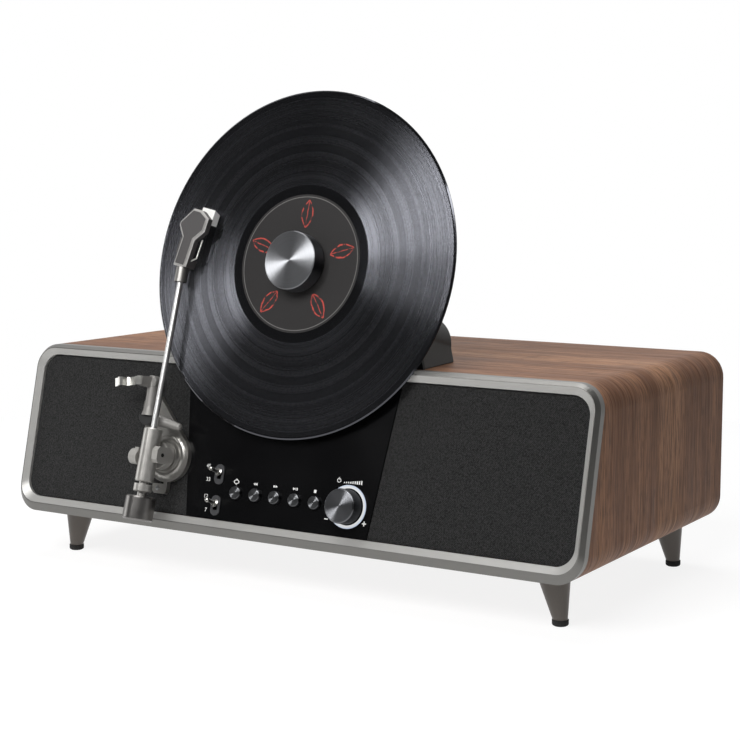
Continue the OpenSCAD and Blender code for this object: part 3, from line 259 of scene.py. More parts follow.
def speckle(tree, size_mm, stretch=(1, 1, 1), detail=3.0, vector=None):
    """Noise whose blotches are about size_mm across, drawn out along an axis by stretch."""
    if vector is None:
        vector = put(tree, "TexCoord", out="Object")
    mapped = put(tree, "Mapping", vector, Scale=tuple(1 / s for s in stretch))
    return put(tree, "TexNoise 3D", mapped, 1 / (size_mm * MM), detail)


def grained(name, code, code_2, size_mm, rough, rough_2, depth_mm, metallic=0.0, level=0.5):
    """A finish of two near tones in blotches of a given size, with its roughness and relief."""
    mat, tree = new_material(name)
    noise = speckle(tree, size_mm)
    return dress(mat, {
        "Base Color": put(tree, "Mix RGBA", noise, rgba(code), rgba(code_2)),
        "Roughness": put(tree, "MapRange SMOOTHSTEP", noise, 0.3, 0.7, rough, rough_2),
        "Normal": put(tree, "Bump", 1.0, depth_mm * MM, Height=noise),
        "Metallic": metallic,
        "Specular IOR Level": level,
    })


def walnut_veneer(colour):
    """Walnut veneer, sliced and oiled: grain along the wrap, darker growth lines and short pores."""
    mat, tree = new_material("walnut veneer")
    x, y, z = put(tree, "SeparateXYZ", put(tree, "TexCoord", out="Object")).node.outputs
    # The sheet wraps over the long edges, so the way along it goes down the sides
    drop = put(tree, "Math SUBTRACT", z, ROOF_Z)
    along = put(tree, "Math SUBTRACT", x,
                put(tree, "Math MULTIPLY", put(tree, "Math SIGN", x), drop))
    sheet = put(tree, "CombineXYZ", along, y)
    # Fine grain and pores are about 0.3 mm wide and are drawn wider, so that they show
    band = speckle(tree, 34, (12, 1, 1), 2.0, sheet)
    line = speckle(tree, 4, (45, 1, 1), 4.0, sheet)
    fine = speckle(tree, 1.9, (18, 1, 1), 3.0, sheet)
    pore = speckle(tree, 1.7, (8, 1, 1), 2.0, sheet)
    light = scaled(colour, 1.65, 1.8, 1.85)
    dark = scaled(colour, 0.42, 0.38, 0.36)
    pale = scaled(colour, 2.1, 2.4, 2.5)
    part = put(tree, "MapRange SMOOTHSTEP", band, 0.36, 0.68)
    tone = put(tree, "Mix RGBA", part, scaled(colour, 1), light)
    # A paler streak, about 60 mm wide, runs behind the middle of the sheet
    sway = put(tree, "Math MULTIPLY", put(tree, "Math SUBTRACT", band, 0.5), PALE_STREAK_SWAY)
    behind = put(tree, "Math SUBTRACT", y, PALE_STREAK_Y)
    streak = put(tree, "Math ABSOLUTE", put(tree, "Math ADD", sway, behind))
    part = put(tree, "MapRange SMOOTHSTEP", streak, 4 * MM, 34 * MM, 0.75, 0.0)
    tone = put(tree, "Mix RGBA", part, tone, pale)
    for grain, low, high, most in ((line, 0.42, 0.78, 0.5), (fine, 0.42, 0.66, 0.72),
                                   (pore, 0.52, 0.68, 0.6)):
        part = put(tree, "MapRange SMOOTHSTEP", grain, low, high, 0.0, most)
        tone = put(tree, "Mix RGBA", part, tone, dark)
    return dress(mat, {
        "Base Color": tone,
        "Roughness": put(tree, "MapRange SMOOTHSTEP", line, 0.3, 0.7, 0.46, 0.6),
        "Normal": put(tree, "Bump", 1.0, 0.06 * MM, Height=fine),
        "Specular IOR Level": 0.16,
    })


def around(tree, centre, wrap_pitch=None):
    """Radius about a line straight out of the front, the way out from it, and the offset."""
    off = put(tree, "VectorMath SUBTRACT", put(tree, "TexCoord", out="Object"), centre)
    if wrap_pitch:
        x, y, z = put(tree, "SeparateXYZ", off).node.outputs
        near = put(tree, "Math WRAP", x, wrap_pitch / 2, -wrap_pitch / 2)
        off = put(tree, "CombineXYZ", near, y, z)
    height = put(tree, "VectorMath PROJECT", off, FACE_N)
    outward = put(tree, "VectorMath SUBTRACT", off, height)
    radius = put(tree, "VectorMath LENGTH", outward)
    turned = put(tree, "VectorTransform", outward,
                 vector_type="VECTOR", convert_from="OBJECT", convert_to="WORLD")
    return radius, put(tree, "VectorMath NORMALIZE", turned), off


def spun_aluminium(name, centre, reach_mm, code, code_2, rough, wrap_pitch=None):
    """Aluminium turned on a lathe and dark anodised: rings that draw the light into two fans, and painted shade on
    the wall round the face.
    """
    mat, tree = new_material(name)
    radius, outward, _ = around(tree, centre, wrap_pitch)
    # Lathe marks are about 0.1 mm apart and are drawn 0.5 mm apart, so that they show
    rings = put(tree, "TexNoise 1D", radius, 1 / (0.5 * MM), 2.0)
    # The wall outside the turned face is coloured darker: painted shade
    shaded_wall = put(tree, "MapRange SMOOTHSTEP", radius, (reach_mm - 0.4) * MM, (reach_mm - 0.15) * MM)
    face = put(tree, "Mix RGBA", rings, rgba(code), rgba(code_2))
    return dress(mat, {
        "Base Color": put(tree, "Mix RGBA", shaded_wall, face, rgba("#3A3A3C")),
        "Tangent": outward,
        "Metallic": 1.0,
        "Roughness": rough,
        "Anisotropic": 1.0,
    })


def pressed_vinyl():
    """Pressed vinyl: fine grooves that fan the light, a lead-in band and smooth dead wax."""
    mat, tree = new_material("pressed vinyl")
    radius, outward, _ = around(tree, RECORD_C)
    # Grooves are about 0.1 mm apart and are drawn 0.8 mm apart, so that the rings show
    rings = put(tree, "TexNoise 1D", radius, 1 / (0.8 * MM), 2.0)
    wide = put(tree, "TexNoise 1D", radius, 1 / (7 * MM), 2.0)
    # How closely the surface is grooved: not in the dead wax and on the rim, less in the lead-in
    wax = put(tree, "MapRange SMOOTHSTEP", radius, (GROOVES_IN - 1) * MM, GROOVES_IN * MM)
    lead_in = put(tree, "MapRange SMOOTHSTEP", radius,
                  LEAD_IN_R * MM, (LEAD_IN_R + 0.8) * MM, 1.0, 0.75)
    rim = put(tree, "MapRange SMOOTHSTEP", radius,
              (GROOVES_OUT - 0.6) * MM, GROOVES_OUT * MM, 1.0, 0.0)
    grooved = put(tree, "Math MULTIPLY", put(tree, "Math MULTIPLY", wax, lead_in), rim)
    for r in TRACK_GAPS:
        far = put(tree, "Math ABSOLUTE", put(tree, "Math SUBTRACT", radius, r * MM))
        gap = put(tree, "MapRange SMOOTHSTEP", far, 0.2 * MM, 0.7 * MM, 0.72, 1.0)
        grooved = put(tree, "Math MULTIPLY", grooved, gap)
    rough = put(tree, "MapRange SMOOTHSTEP", wide, 0.3, 0.7, 0.2, 0.23)
    rough = put(tree, "Math MULTIPLY", grooved, rough)
    # The run-out is smooth and bright, and the played grooves outside it are slightly uneven
    run_out = (RUN_OUT_R - 0.6) * MM, RUN_OUT_R * MM
    outside = put(tree, "MapRange SMOOTHSTEP", radius, *run_out)
    played = put(tree, "Math MULTIPLY", outside, grooved)
    patch = speckle(tree, 1.5, detail=2.0)
    mottle = put(tree, "Math MULTIPLY", patch, played)
    height = put(tree, "Math ADD", mottle, put(tree, "Math MULTIPLY", rings, 0.3))
    uneven = put(tree, "Math MULTIPLY", put(tree, "Math SUBTRACT", patch, 0.5),
                 put(tree, "Math MULTIPLY", played, 1.3))
    shine = put(tree, "Math ADD",
                put(tree, "MapRange SMOOTHSTEP", rings, 0.3, 0.7, 0.75, 1.2), uneven)
    shine = put(tree, "Math MULTIPLY", shine,
                put(tree, "MapRange SMOOTHSTEP", wide, 0.35, 0.65, 0.85, 1.1))
    shine = put(tree, "Math MULTIPLY", shine,
                put(tree, "MapRange SMOOTHSTEP", radius, *run_out, 1.4, 1.0))
    return dress(mat, {
        "Base Color": put(tree, "Mix RGBA", rings, rgba("#030303"), rgba("#0A0A0B")),
        "Roughness": put(tree, "Math ADD", 0.06, rough),
        "Normal": put(tree, "Bump", 1.0, 0.025 * MM, Height=height),
        "Tangent": outward,
        "Anisotropic": 1.0,
        "Specular IOR Level": shine,
        "Specular Tint": rgba("#E6E8F4"),
    })


def printed_label(ink):
    """Printed label paper: charcoal stock with line-drawn red leaves, and a thin pale line at its rim that is a
    painted highlight.
    """
    mat, tree = new_material("printed label paper")
    radius, _, off = around(tree, RECORD_C)
    face = put(tree, "Mapping", off, Rotation=(TILT, 0, 0))
    x, _, z = put(tree, "SeparateXYZ", face).node.outputs
    angle = put(tree, "Math ARCTAN2", z, x)
    # The leaves stand round the label, drawn with a brush of about 1 mm that shakes a little
    share = 2 * math.pi / LEAVES
    turn = put(tree, "Math DIVIDE", put(tree, "Math ADD", angle, LEAF_TURN), share)
    cell = put(tree, "Math MULTIPLY",
               put(tree, "Math SUBTRACT", put(tree, "Math FRACT", turn), 0.5), share)
    shake = put(tree, "Math MULTIPLY",
                put(tree, "Math SUBTRACT", speckle(tree, 6), 0.5), 2.2 * MM)
    side = put(tree, "Math ADD", put(tree, "Math MULTIPLY", cell, radius), shake)
    along = put(tree, "Math DIVIDE", put(tree, "Math SUBTRACT", radius, LEAF_AT), LEAF_L / 2)
    swell = put(tree, "Math SUBTRACT", 1.0, put(tree, "Math POWER", along, 2.0))
    half = put(tree, "Math MULTIPLY", swell, LEAF_W / 2)
    middle = put(tree, "Math ABSOLUTE", side)
    edge = put(tree, "Math ABSOLUTE", put(tree, "Math SUBTRACT", middle, half))
    outline = put(tree, "MapRange SMOOTHSTEP", edge, 0.4 * MM, 0.8 * MM, 1.0, 0.0)
    vein = put(tree, "MapRange SMOOTHSTEP", middle, 0.25 * MM, 0.55 * MM, 0.8, 0.0)
    inside = put(tree, "MapRange SMOOTHSTEP", half, -0.2 * MM, 0.3 * MM)
    leaf = put(tree, "Math MULTIPLY", put(tree, "Math MAXIMUM", outline, vein), inside)
    brush = put(tree, "MapRange SMOOTHSTEP", speckle(tree, 3.0, (1, 1, 2)), 0.36, 0.54)
    leaf = put(tree, "Math MULTIPLY", leaf, brush)
    # A painted highlight: a thin pale line where light catches the label's rim
    border = put(tree, "Math ABSOLUTE", put(tree, "Math SUBTRACT", radius, LABEL_HIGHLIGHT_R * MM))
    rim_highlight = put(tree, "MapRange SMOOTHSTEP", border, 0.15 * MM, 0.4 * MM, 0.55, 0.0)
    paper = put(tree, "Mix RGBA", speckle(tree, 0.8), rgba("#171515"), rgba("#211F1F"))
    tone = put(tree, "Mix RGBA", rim_highlight, paper, rgba("#8C8A88"))
    return dress(mat, {
        "Base Color": put(tree, "Mix RGBA", leaf, tone, scaled(ink, 1)),
        "Normal": put(tree, "Bump", 1.0, 0.01 * MM, Height=speckle(tree, 0.4)),
        "Roughness": 0.6,
        "Specular IOR Level": 0.3,
    })


def grille_cloth(colour):
    """Woven grille cloth: close threads with a nap that breaks up the light."""
    mat, tree = new_material("woven grille cloth")
    face = put(tree, "Mapping", put(tree, "TexCoord", out="Object"), Rotation=(TILT, 0, 0))
    x, _, z = put(tree, "SeparateXYZ", face).node.outputs
    # Threads are about 0.5 mm apart and are drawn wider apart, so that the weave shows
    thread = 2 * math.pi / THREAD_PITCH
    warp = put(tree, "Math SINE", put(tree, "Math MULTIPLY", x, thread))
    weft = put(tree, "Math SINE", put(tree, "Math MULTIPLY", z, thread))
    weave = put(tree, "Math MULTIPLY", put(tree, "Math MULTIPLY", warp, weft), 0.22)
    height = put(tree, "Math ADD", weave, speckle(tree, 1.2, detail=2.0))
    raised = put(tree, "MapRange SMOOTHSTEP", height, 0.34, 0.68)
    return dress(mat, {
        "Base Color": put(tree, "Mix RGBA", raised, scaled(colour, 0.3), scaled(colour, 3.4)),
        "Normal": put(tree, "Bump", 1.0, 0.6 * MM, Height=height),
        "Roughness": 0.9,
        "Specular IOR Level": 0.15,
        "Sheen Weight": 0.12,
        "Sheen Roughness": 0.5,
    })


def brushed_bezel(colour):
    """Aluminium extrusion, brushed along its length, with its inner facet painted lighter as a painted highlight.
    """
    mat, tree = new_material("brushed bezel aluminium")
    streak = speckle(tree, 0.7, (40, 1, 1), 2.0)
    brushed = put(tree, "Mix RGBA", streak, scaled(colour, 0.88), scaled(colour, 1.1))
    # The inner facet, the one that leans towards the middle of the front, is painted lighter and less metallic: a
    # painted highlight
    off = put(tree, "VectorMath SUBTRACT", put(tree, "TexCoord", out="Object"), FACE_MID)
    flat = put(tree, "VectorMath SUBTRACT", off, put(tree, "VectorMath PROJECT", off, FACE_N))
    lean = put(tree, "VectorMath DOT_PRODUCT", flat, put(tree, "TexCoord", out="Normal"))
    lit_facet = put(tree, "MapRange SMOOTHSTEP", lean, -20 * MM, -8 * MM, 1.0, 0.0)
    return dress(mat, {
        # Painted highlight: the inner facet's colour is lightened to a pale grey
        "Base Color": put(tree, "Mix RGBA", lit_facet, brushed, rgba("#A8A7A4")),
        "Metallic": put(tree, "MapRange SMOOTHSTEP", lit_facet, 0.0, 1.0, 0.85, 0.45),
        "Roughness": put(tree, "MapRange SMOOTHSTEP", streak, 0.3, 0.7, 0.36, 0.46),
        "Normal": put(tree, "Bump", 1.0, 0.01 * MM, Height=streak),
    })


def lit_ring(colour):
    """Milky acrylic lit from behind: an even glow with a slightly cooler edge."""
    mat, tree = new_material("lit acrylic ring")
    radius, _, _ = around(tree, KNOB_C)
    milk = put(tree, "MapRange SMOOTHSTEP", radius, *RING_SPAN)
    edge = put(tree, "MapRange SMOOTHSTEP", radius, *GLOW_SPAN)
    return dress(mat, {
        "Base Color": put(tree, "Mix RGBA", milk, rgba("#6E7478"), rgba("#5C6268")),
        "Emission Color": put(tree, "Mix RGBA", edge, rgba("#FFFFFF"), scaled(colour, 1)),
        "Emission Strength": 0.6,
        "Roughness": 0.35,
    })


def paint(node, material):
    """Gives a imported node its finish."""
    slots = NODES[node].data.materials
    slots.clear()
    slots.append(material)


def only(piece):
    """Makes one object the selected and active one, in object mode."""
    bpy.ops.object.select_all(action="DESELECT")
    piece.select_set(True)
    bpy.context.view_layer.objects.active = piece


def use(piece, kind, **settings):
    """Adds a modifier and applies it."""
    only(piece)
    modifier = piece.modifiers.new(kind, kind)
    for key, value in settings.items():
        setattr(modifier, key, value)
    bpy.ops.object.modifier_apply(modifier=modifier.name)


def settle(piece, name, material, body, place=None):
    """Ends a piece: its place goes into its mesh, and it rides on a body with its finish."""
    piece.name = name
    piece.data.name = name
    if place is not None:
        piece.data.transform(place)
    piece.data.materials.clear()
    piece.data.materials.append(material)
    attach(piece, body)


def merged_copy(node, name):
    """A copy of a node's mesh as its own object, merged and with its flat faces made whole."""
    piece = bpy.data.objects.new(name, NODES[node].data.copy())
    bpy.context.scene.collection.objects.link(piece)
    only(piece)
    bpy.ops.object.mode_set(mode="EDIT")
    bpy.ops.mesh.select_mode(type="VERT")
    bpy.ops.mesh.select_all(action="SELECT")
    bpy.ops.mesh.remove_doubles(threshold=MERGE_GAP)
    bpy.ops.mesh.dissolve_limited(angle_limit=FLAT_ANGLE)
    bpy.ops.object.mode_set(mode="OBJECT")
    return piece


def softened(node, name, material, edge):
    """A copy of a node with its sharp edges rounded, shown in the node's place."""
    piece = merged_copy(node, name)
    piece.data.validate()
    use(piece, "BEVEL", width=edge, segments=3, limit_method="ANGLE",
        angle_limit=SHARP_ANGLE, harden_normals=False, use_clamp_overlap=True)
    bpy.ops.object.shade_smooth_by_angle(angle=SMOOTH_ANGLE)
    use(piece, "WEIGHTED_NORMAL", keep_sharp=True)
    settle(piece, name, material, BODY_OF[node])
    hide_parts(node)


class RECORDPLAYER_OT_cabinet(bpy.types.Operator):
    """Finishes the wood wrap, the bezel, the grilles and the panel"""
    bl_idname = "record_player.cabinet"
    bl_label = "Cabinet"

    def execute(self, context):
        colours = context.scene.record_player_colours
        paint("cabinet_shell", walnut_veneer(colours.walnut))
        paint("front_bezel", brushed_bezel(colours.bezel))
        cloth = grille_cloth(colours.cloth)
        for node in ("left_grille", "right_grille"):
            paint(node, cloth)
        # Cast acrylic, polished: near black, with faint wipe marks in its gloss
        paint("control_panel", grained("gloss black acrylic", "#070708", "#0A0A0B", 60, 0.16, 0.22,
                                       0.0, level=0.22))
        # Fibreboard, pressed and raw: short pale fibres
        paint("baffle_board", grained("raw fibreboard", "#8D7658", "#A48A68", 1.5, 0.85, 0.95, 0.05))
        return {"FINISHED"}


class RECORDPLAYER_OT_rear(bpy.types.Operator):
    """Finishes the back panel, the jacks and what is inside the cabinet"""
    bl_idname = "record_player.rear"
    bl_label = "Rear and Inside"

    def execute(self, context):
        # Hardboard, painted: a fine even grain
        paint("back_panel", grained("painted hardboard", "#191919", "#222222", 1.0, 0.7, 0.85, 0.03))
        # Black plastic, moulded: a fine even texture with little shine
        plastic = grained("moulded black plastic", "#101010", "#171717", 0.8, 0.5, 0.62, 0.02)
        for node in ("jack_plate", "power_inlet", "toggle_switches", "drive_belt", "rest_collar"):
            paint(node, plastic)
        # Steel, zinc plated: a cool grey shine with faint clouds
        plated = grained("zinc plated steel", "#8F9092", "#A6A7A8", 2.0, 0.28, 0.4, 0.01,
                         metallic=1.0)
        for node in ("back_screws", "arm_screws"):
            paint(node, plated)
        # Brass, turned and gilt: a warm yellow shine
        gold = grained("gilt brass", "#C9A24E", "#D8B768", 1.5, 0.2, 0.3, 0.005, metallic=1.0)
        for node in ("line_out_jacks", "motor_pulley", "platter_bearing"):
            paint(node, gold)
        # Circuit board under green lacquer: a deep half gloss
        board = grained("lacquered circuit board", "#12402A", "#185236", 3.0, 0.35, 0.45, 0.01)
        for node in ("amplifier_board", "control_board"):
            paint(node, board)
        # Pressed steel, painted: an even black satin
        black = grained("satin black steel", "#1B1B1B", "#232323", 1.0, 0.4, 0.5, 0.02)
        for node in ("left_speaker", "right_speaker", "volume_control"):
            paint(node, black)
        # Paper pulp, pressed and dyed: fibrous, with no shine
        paint("speaker_cones", grained("pressed paper", "#141414", "#1F1E1D", 0.8, 0.85, 0.95, 0.06))
        # Aluminium, cast and skimmed: pale grey with a soft sheen
        cast = grained("cast aluminium", "#8A8B8C", "#9B9C9C", 1.2, 0.35, 0.48, 0.02, metallic=1.0)
        for node in ("drive_motor", "platter", "spindle"):
            paint(node, cast)
        # Wool felt, matted: soft dark fibres with no shine
        paint("slipmat", grained("wool felt", "#17171A", "#26262A", 0.7, 0.95, 1.0, 0.15))
        return {"FINISHED"}


class RECORDPLAYER_OT_controls(bpy.types.Operator):
    """Finishes the knob, its lit ring, the buttons and the two levers"""
    bl_idname = "record_player.controls"
    bl_label = "Controls"

    def execute(self, context):
        colours = context.scene.record_player_colours
        edge = context.scene.record_player_sizes.edge_round
        knob = spun_aluminium("spun knob aluminium", KNOB_C, KNOB_R, "#606164", "#78797C", 0.34)
        softened("volume_knob", "volume_knob_rounded", knob, edge)
        middle = ON_FACE @ Vector((BUTTON_X * MM, BUTTON_S * MM, 0))
        caps = spun_aluminium("spun button aluminium", middle, BUTTON_R, "#5C5D5F", "#707173", 0.3,
                              BUTTON_PITCH * MM)
        for node in ("source_button", "previous_button", "next_button", "play_button", "stop_button"):
            softened(node, node + "_rounded", caps, 0.6 * edge)
        paint("led_ring", lit_ring(colours.light))
        # Nickel, plated and polished: bright, with a faint cloudiness
        nickel = grained("polished nickel plate", "#9C9B97", "#AAA9A5", 3.0, 0.2, 0.28, 0.0,
                         metallic=1.0)
        for node in ("speed_toggle", "size_toggle"):
            paint(node, nickel)
        # Black nickel, plated and brushed: dark, with a muted shine
        paint("toggle_plates", grained("black nickel plate", "#4A4A4C", "#58585A", 1.0, 0.3, 0.4, 0.0,
                                       metallic=0.55))
        return {"FINISHED"}


def drawn(x, up, resize=(1, 1, 1), turn=0.0):
    """Sizes, turns and places the flat shape just added, in face millimetres, and returns it."""
    piece = bpy.context.object
    piece.data.transform(Matrix.Translation((x * MM, up * MM, 0))
                         @ Matrix.Rotation(math.radians(turn), 4, "Z")
                         @ Matrix.Diagonal((*resize, 1)))
    return piece


def bar(x, up, wide, high, turn=0.0):
    """A flat printed bar."""
    bpy.ops.mesh.primitive_plane_add(size=MM)
    return drawn(x, up, (wide, high, 1), turn)


def wedge(x, up, reach, turn):
    """A flat printed triangle, its point turned from straight up."""
    bpy.ops.mesh.primitive_circle_add(vertices=3, radius=reach * MM, fill_type="NGON")
    return drawn(x, up, (1, 1, 1), turn)


def hoop(x, up, radius, width, stretch=1.0):
    """A flat printed ring."""
    bpy.ops.mesh.primitive_circle_add(vertices=40, radius=radius * MM, fill_type="NGON")
    bpy.ops.object.mode_set(mode="EDIT")
    bpy.ops.mesh.select_all(action="SELECT")
    bpy.ops.mesh.inset(thickness=width * MM)
    bpy.ops.mesh.delete(type="FACE")
    bpy.ops.object.mode_set(mode="OBJECT")
    return drawn(x, up, (stretch, 1, 1))


def number(text, x, up, height):
    """A flat printed number."""
    bpy.ops.object.text_add()
    curve = bpy.context.object.data
    curve.body = text
    curve.size = height / FIGURE_SHARE
    curve.align_x = "CENTER"
    curve.align_y = "CENTER"
    bpy.ops.object.convert(target="MESH")
    return drawn(x, up)


class RECORDPLAYER_OT_print(bpy.types.Operator):
    """Prints the marks over the buttons, by the levers and round the knob"""
    bl_idname = "record_player.print"
    bl_label = "Printed Marks"

    def execute(self, context):
        sizes = context.scene.record_player_sizes
        bpy.ops.object.select_all(action="DESELECT")
        source, back, onward, play, stop = (i * BUTTON_PITCH + ICON_X for i in range(-2, 3))
        # Source: a flat loop with two arrow heads
        marks = [hoop(source, ICON_S, LOOP_R, 0.55, 1.5),
                 wedge(source + 0.2, ICON_S + LOOP_R, 1.1, -90),
                 wedge(source - 0.2, ICON_S - LOOP_R, 1.1, 90)]
        # Double arrows back and onward, an arrow with two bars to play and pause, a square to stop
        for x in (-ARROW_STEP, ARROW_STEP):
            marks.append(wedge(back + x, ICON_S, 1.4, 90))
            marks.append(wedge(onward + x, ICON_S, 1.4, -90))
            marks.append(bar(play + 1.6 + 0.6 * x, ICON_S, 0.65, 2.4))
        marks.append(wedge(play - 1.3, ICON_S, 1.5, -90))
        marks.append(bar(stop, ICON_S, 2.4, 2.6))
        # Minus and plus beside the knob
        marks.append(bar(*MINUS_AT, 3.4, 0.8))
        marks.append(bar(*PLUS_AT, 4.0, 0.9))
        marks.append(bar(*PLUS_AT, 0.9, 4.0))
        # A power mark and rising bars over the knob
        marks.append(hoop(POWER_X, POWER_S, LOOP_R, 0.5))
        marks.append(bar(POWER_X, POWER_S + 1.5, 0.6, 2.2))
        for i in range(9):
            high = 0.9 + 0.3 * i
            marks.append(bar(LEVEL_X + LEVEL_PITCH * i, LEVEL_S + high / 2, 1.2, high))
        # Speeds and record sizes by the two levers
        for text, x, up in NUMERALS:
            marks.append(number(text, x, up, sizes.numeral_height))
        bpy.ops.object.select_all(action="DESELECT")
        for piece in marks:
            piece.select_set(True)
        context.view_layer.objects.active = marks[0]
        bpy.ops.object.join()
        bpy.ops.object.mode_set(mode="EDIT")
        bpy.ops.mesh.select_all(action="SELECT")
        bpy.ops.mesh.extrude_region_move(TRANSFORM_OT_translate={"value": (0, 0, sizes.print_lift)})
        bpy.ops.object.mode_set(mode="OBJECT")
        # Screen ink, off white, a little uneven
        ink = grained("off white screen ink", "#D2D2D0", "#E0E0DE", 0.6, 0.55, 0.65, 0.0)
        place = ON_FACE @ Matrix.Translation((0, 0, (PANEL_N + PRINT_GAP) * MM))
        settle(marks[0], "printed_marks", ink, "cabinet", place)
        return {"FINISHED"}


class RECORDPLAYER_OT_record(bpy.types.Operator):
    """Finishes the record, its label and the clamp"""
    bl_idname = "record_player.record"
    bl_label = "Record"

    def execute(self, context):
        paint("record", pressed_vinyl())
        paint("record_label", printed_label(context.scene.record_player_colours.ink))
        edge = context.scene.record_player_sizes.edge_round
        puck = spun_aluminium("spun clamp aluminium", RECORD_C, CLAMP_R, "#808184", "#9A9B9E", 0.4)
        softened("record_clamp", "record_clamp_rounded", puck, edge)
        return {"FINISHED"}


def reach_along(tree, origin, axis):
    """Distance of a point from an origin, counted along an axis."""
    off = put(tree, "VectorMath SUBTRACT", put(tree, "TexCoord", out="Object"), origin)
    return put(tree, "VectorMath DOT_PRODUCT", off, axis)


def chrome_tube():
    """Chrome plate on drawn brass tube, rubbed to a soft shine, with a grey collar at its end."""
    mat, tree = new_material("chrome plated tube")
    reach = reach_along(tree, PIVOT, ON_ARM.to_3x3() @ Vector((0, 1, 0)))
    collar = put(tree, "MapRange SMOOTHSTEP", reach, COLLAR_AT, COLLAR_AT + 0.1 * MM)
    cloud = speckle(tree, 12)
    bright = put(tree, "Mix RGBA", cloud, rgba("#D2D2D1"), rgba("#DEDEDD"))
    rubbed = put(tree, "MapRange SMOOTHSTEP", cloud, 0.3, 0.7, 0.33, 0.36)
    return dress(mat, {
        "Base Color": put(tree, "Mix RGBA", collar, bright, rgba("#93918E")),
        "Roughness": put(tree, "Math ADD", rubbed, put(tree, "Math MULTIPLY", collar, 0.04)),
        "Metallic": 1.0,
    })


def painted_shell():
    """Moulded shell, painted: a dark grey face, with its bevel painted lighter as a painted highlight."""
    mat, tree = new_material("painted headshell")
    rise = reach_along(tree, ON_HEAD.translation, ON_HEAD.to_3x3() @ Vector((0, 0, 1)))
    # Painted highlight: the bevel between these heights is coloured light grey
    bevel_highlight = put(tree, "Math MULTIPLY",
                put(tree, "MapRange SMOOTHSTEP", rise, *BEVEL_FOOT),
                put(tree, "MapRange SMOOTHSTEP", rise, *BEVEL_TOP, 1.0, 0.0))
    grain = speckle(tree, 0.8)
    tone = put(tree, "Mix RGBA", grain, rgba("#3C3A3A"), rgba("#464444"))
    return dress(mat, {
        "Base Color": put(tree, "Mix RGBA", bevel_highlight, tone, rgba("#A9A7A5")),
        "Roughness": put(tree, "MapRange SMOOTHSTEP", grain, 0.3, 0.7, 0.42, 0.52),
        "Specular IOR Level": 0.5,
    })


def shell_rim_highlight(material):
    """A painted highlight: a light line round the headshell's face, made from a copy of that face."""
    piece = merged_copy("headshell", "headshell_rim_highlight")
    bpy.ops.object.mode_set(mode="EDIT")
    bpy.ops.mesh.select_mode(type="FACE")
    bpy.ops.mesh.select_all(action="DESELECT")
    bpy.ops.object.mode_set(mode="OBJECT")
    up = ON_HEAD.to_3x3() @ Vector((0, 0, 1))
    top = max(v.co.dot(up) for v in piece.data.vertices)
    for face in piece.data.polygons:
        face.select = face.center.dot(up) < top - 0.01 * MM
    bpy.ops.object.mode_set(mode="EDIT")
    bpy.ops.mesh.delete(type="FACE")
    bpy.ops.mesh.select_all(action="SELECT")
    bpy.ops.mesh.inset(thickness=RIM_HIGHLIGHT_W)
    bpy.ops.mesh.delete(type="FACE")
    bpy.ops.mesh.select_all(action="SELECT")
    bpy.ops.mesh.extrude_region_move(TRANSFORM_OT_translate={"value": RIM_HIGHLIGHT_LIFT * up})
    bpy.ops.mesh.select_mode(type="VERT")
    bpy.ops.object.mode_set(mode="OBJECT")
    settle(piece, "headshell_rim_highlight", material, BODY_OF["headshell"])


def yoke_screw(material):
    """The socket screw in the end of the yoke, on the line of the trunnions."""
    axis = ON_ARM.to_3x3() @ Vector((1, 0, 0))
    reach = max((v.co - PIVOT).dot(axis) for v in NODES["arm_yoke"].data.vertices)
    bpy.ops.object.select_all(action="DESELECT")
    bpy.ops.mesh.primitive_circle_add(vertices=32, radius=SCREW_R, fill_type="NGON")
    bpy.ops.object.mode_set(mode="EDIT")
    bpy.ops.mesh.select_all(action="SELECT")
    bpy.ops.mesh.extrude_region_move(TRANSFORM_OT_translate={"value": (0, 0, SCREW_HEAD)})
    # A chamfer round the head, then the socket in its middle
    bpy.ops.mesh.inset(thickness=SCREW_CHAMFER, depth=SCREW_CROWN)
    bpy.ops.mesh.inset(thickness=SCREW_RIM)
    bpy.ops.mesh.extrude_region_move(TRANSFORM_OT_translate={"value": (0, 0, -SCREW_HEAD)})
    bpy.ops.object.mode_set(mode="OBJECT")
    turn = ON_ARM.to_3x3().to_4x4() @ Matrix.Rotation(math.pi / 2, 4, "Y")
    settle(bpy.context.object, "yoke_screw", material, BODY_OF["arm_yoke"],
           Matrix.Translation(PIVOT + axis * reach) @ turn)


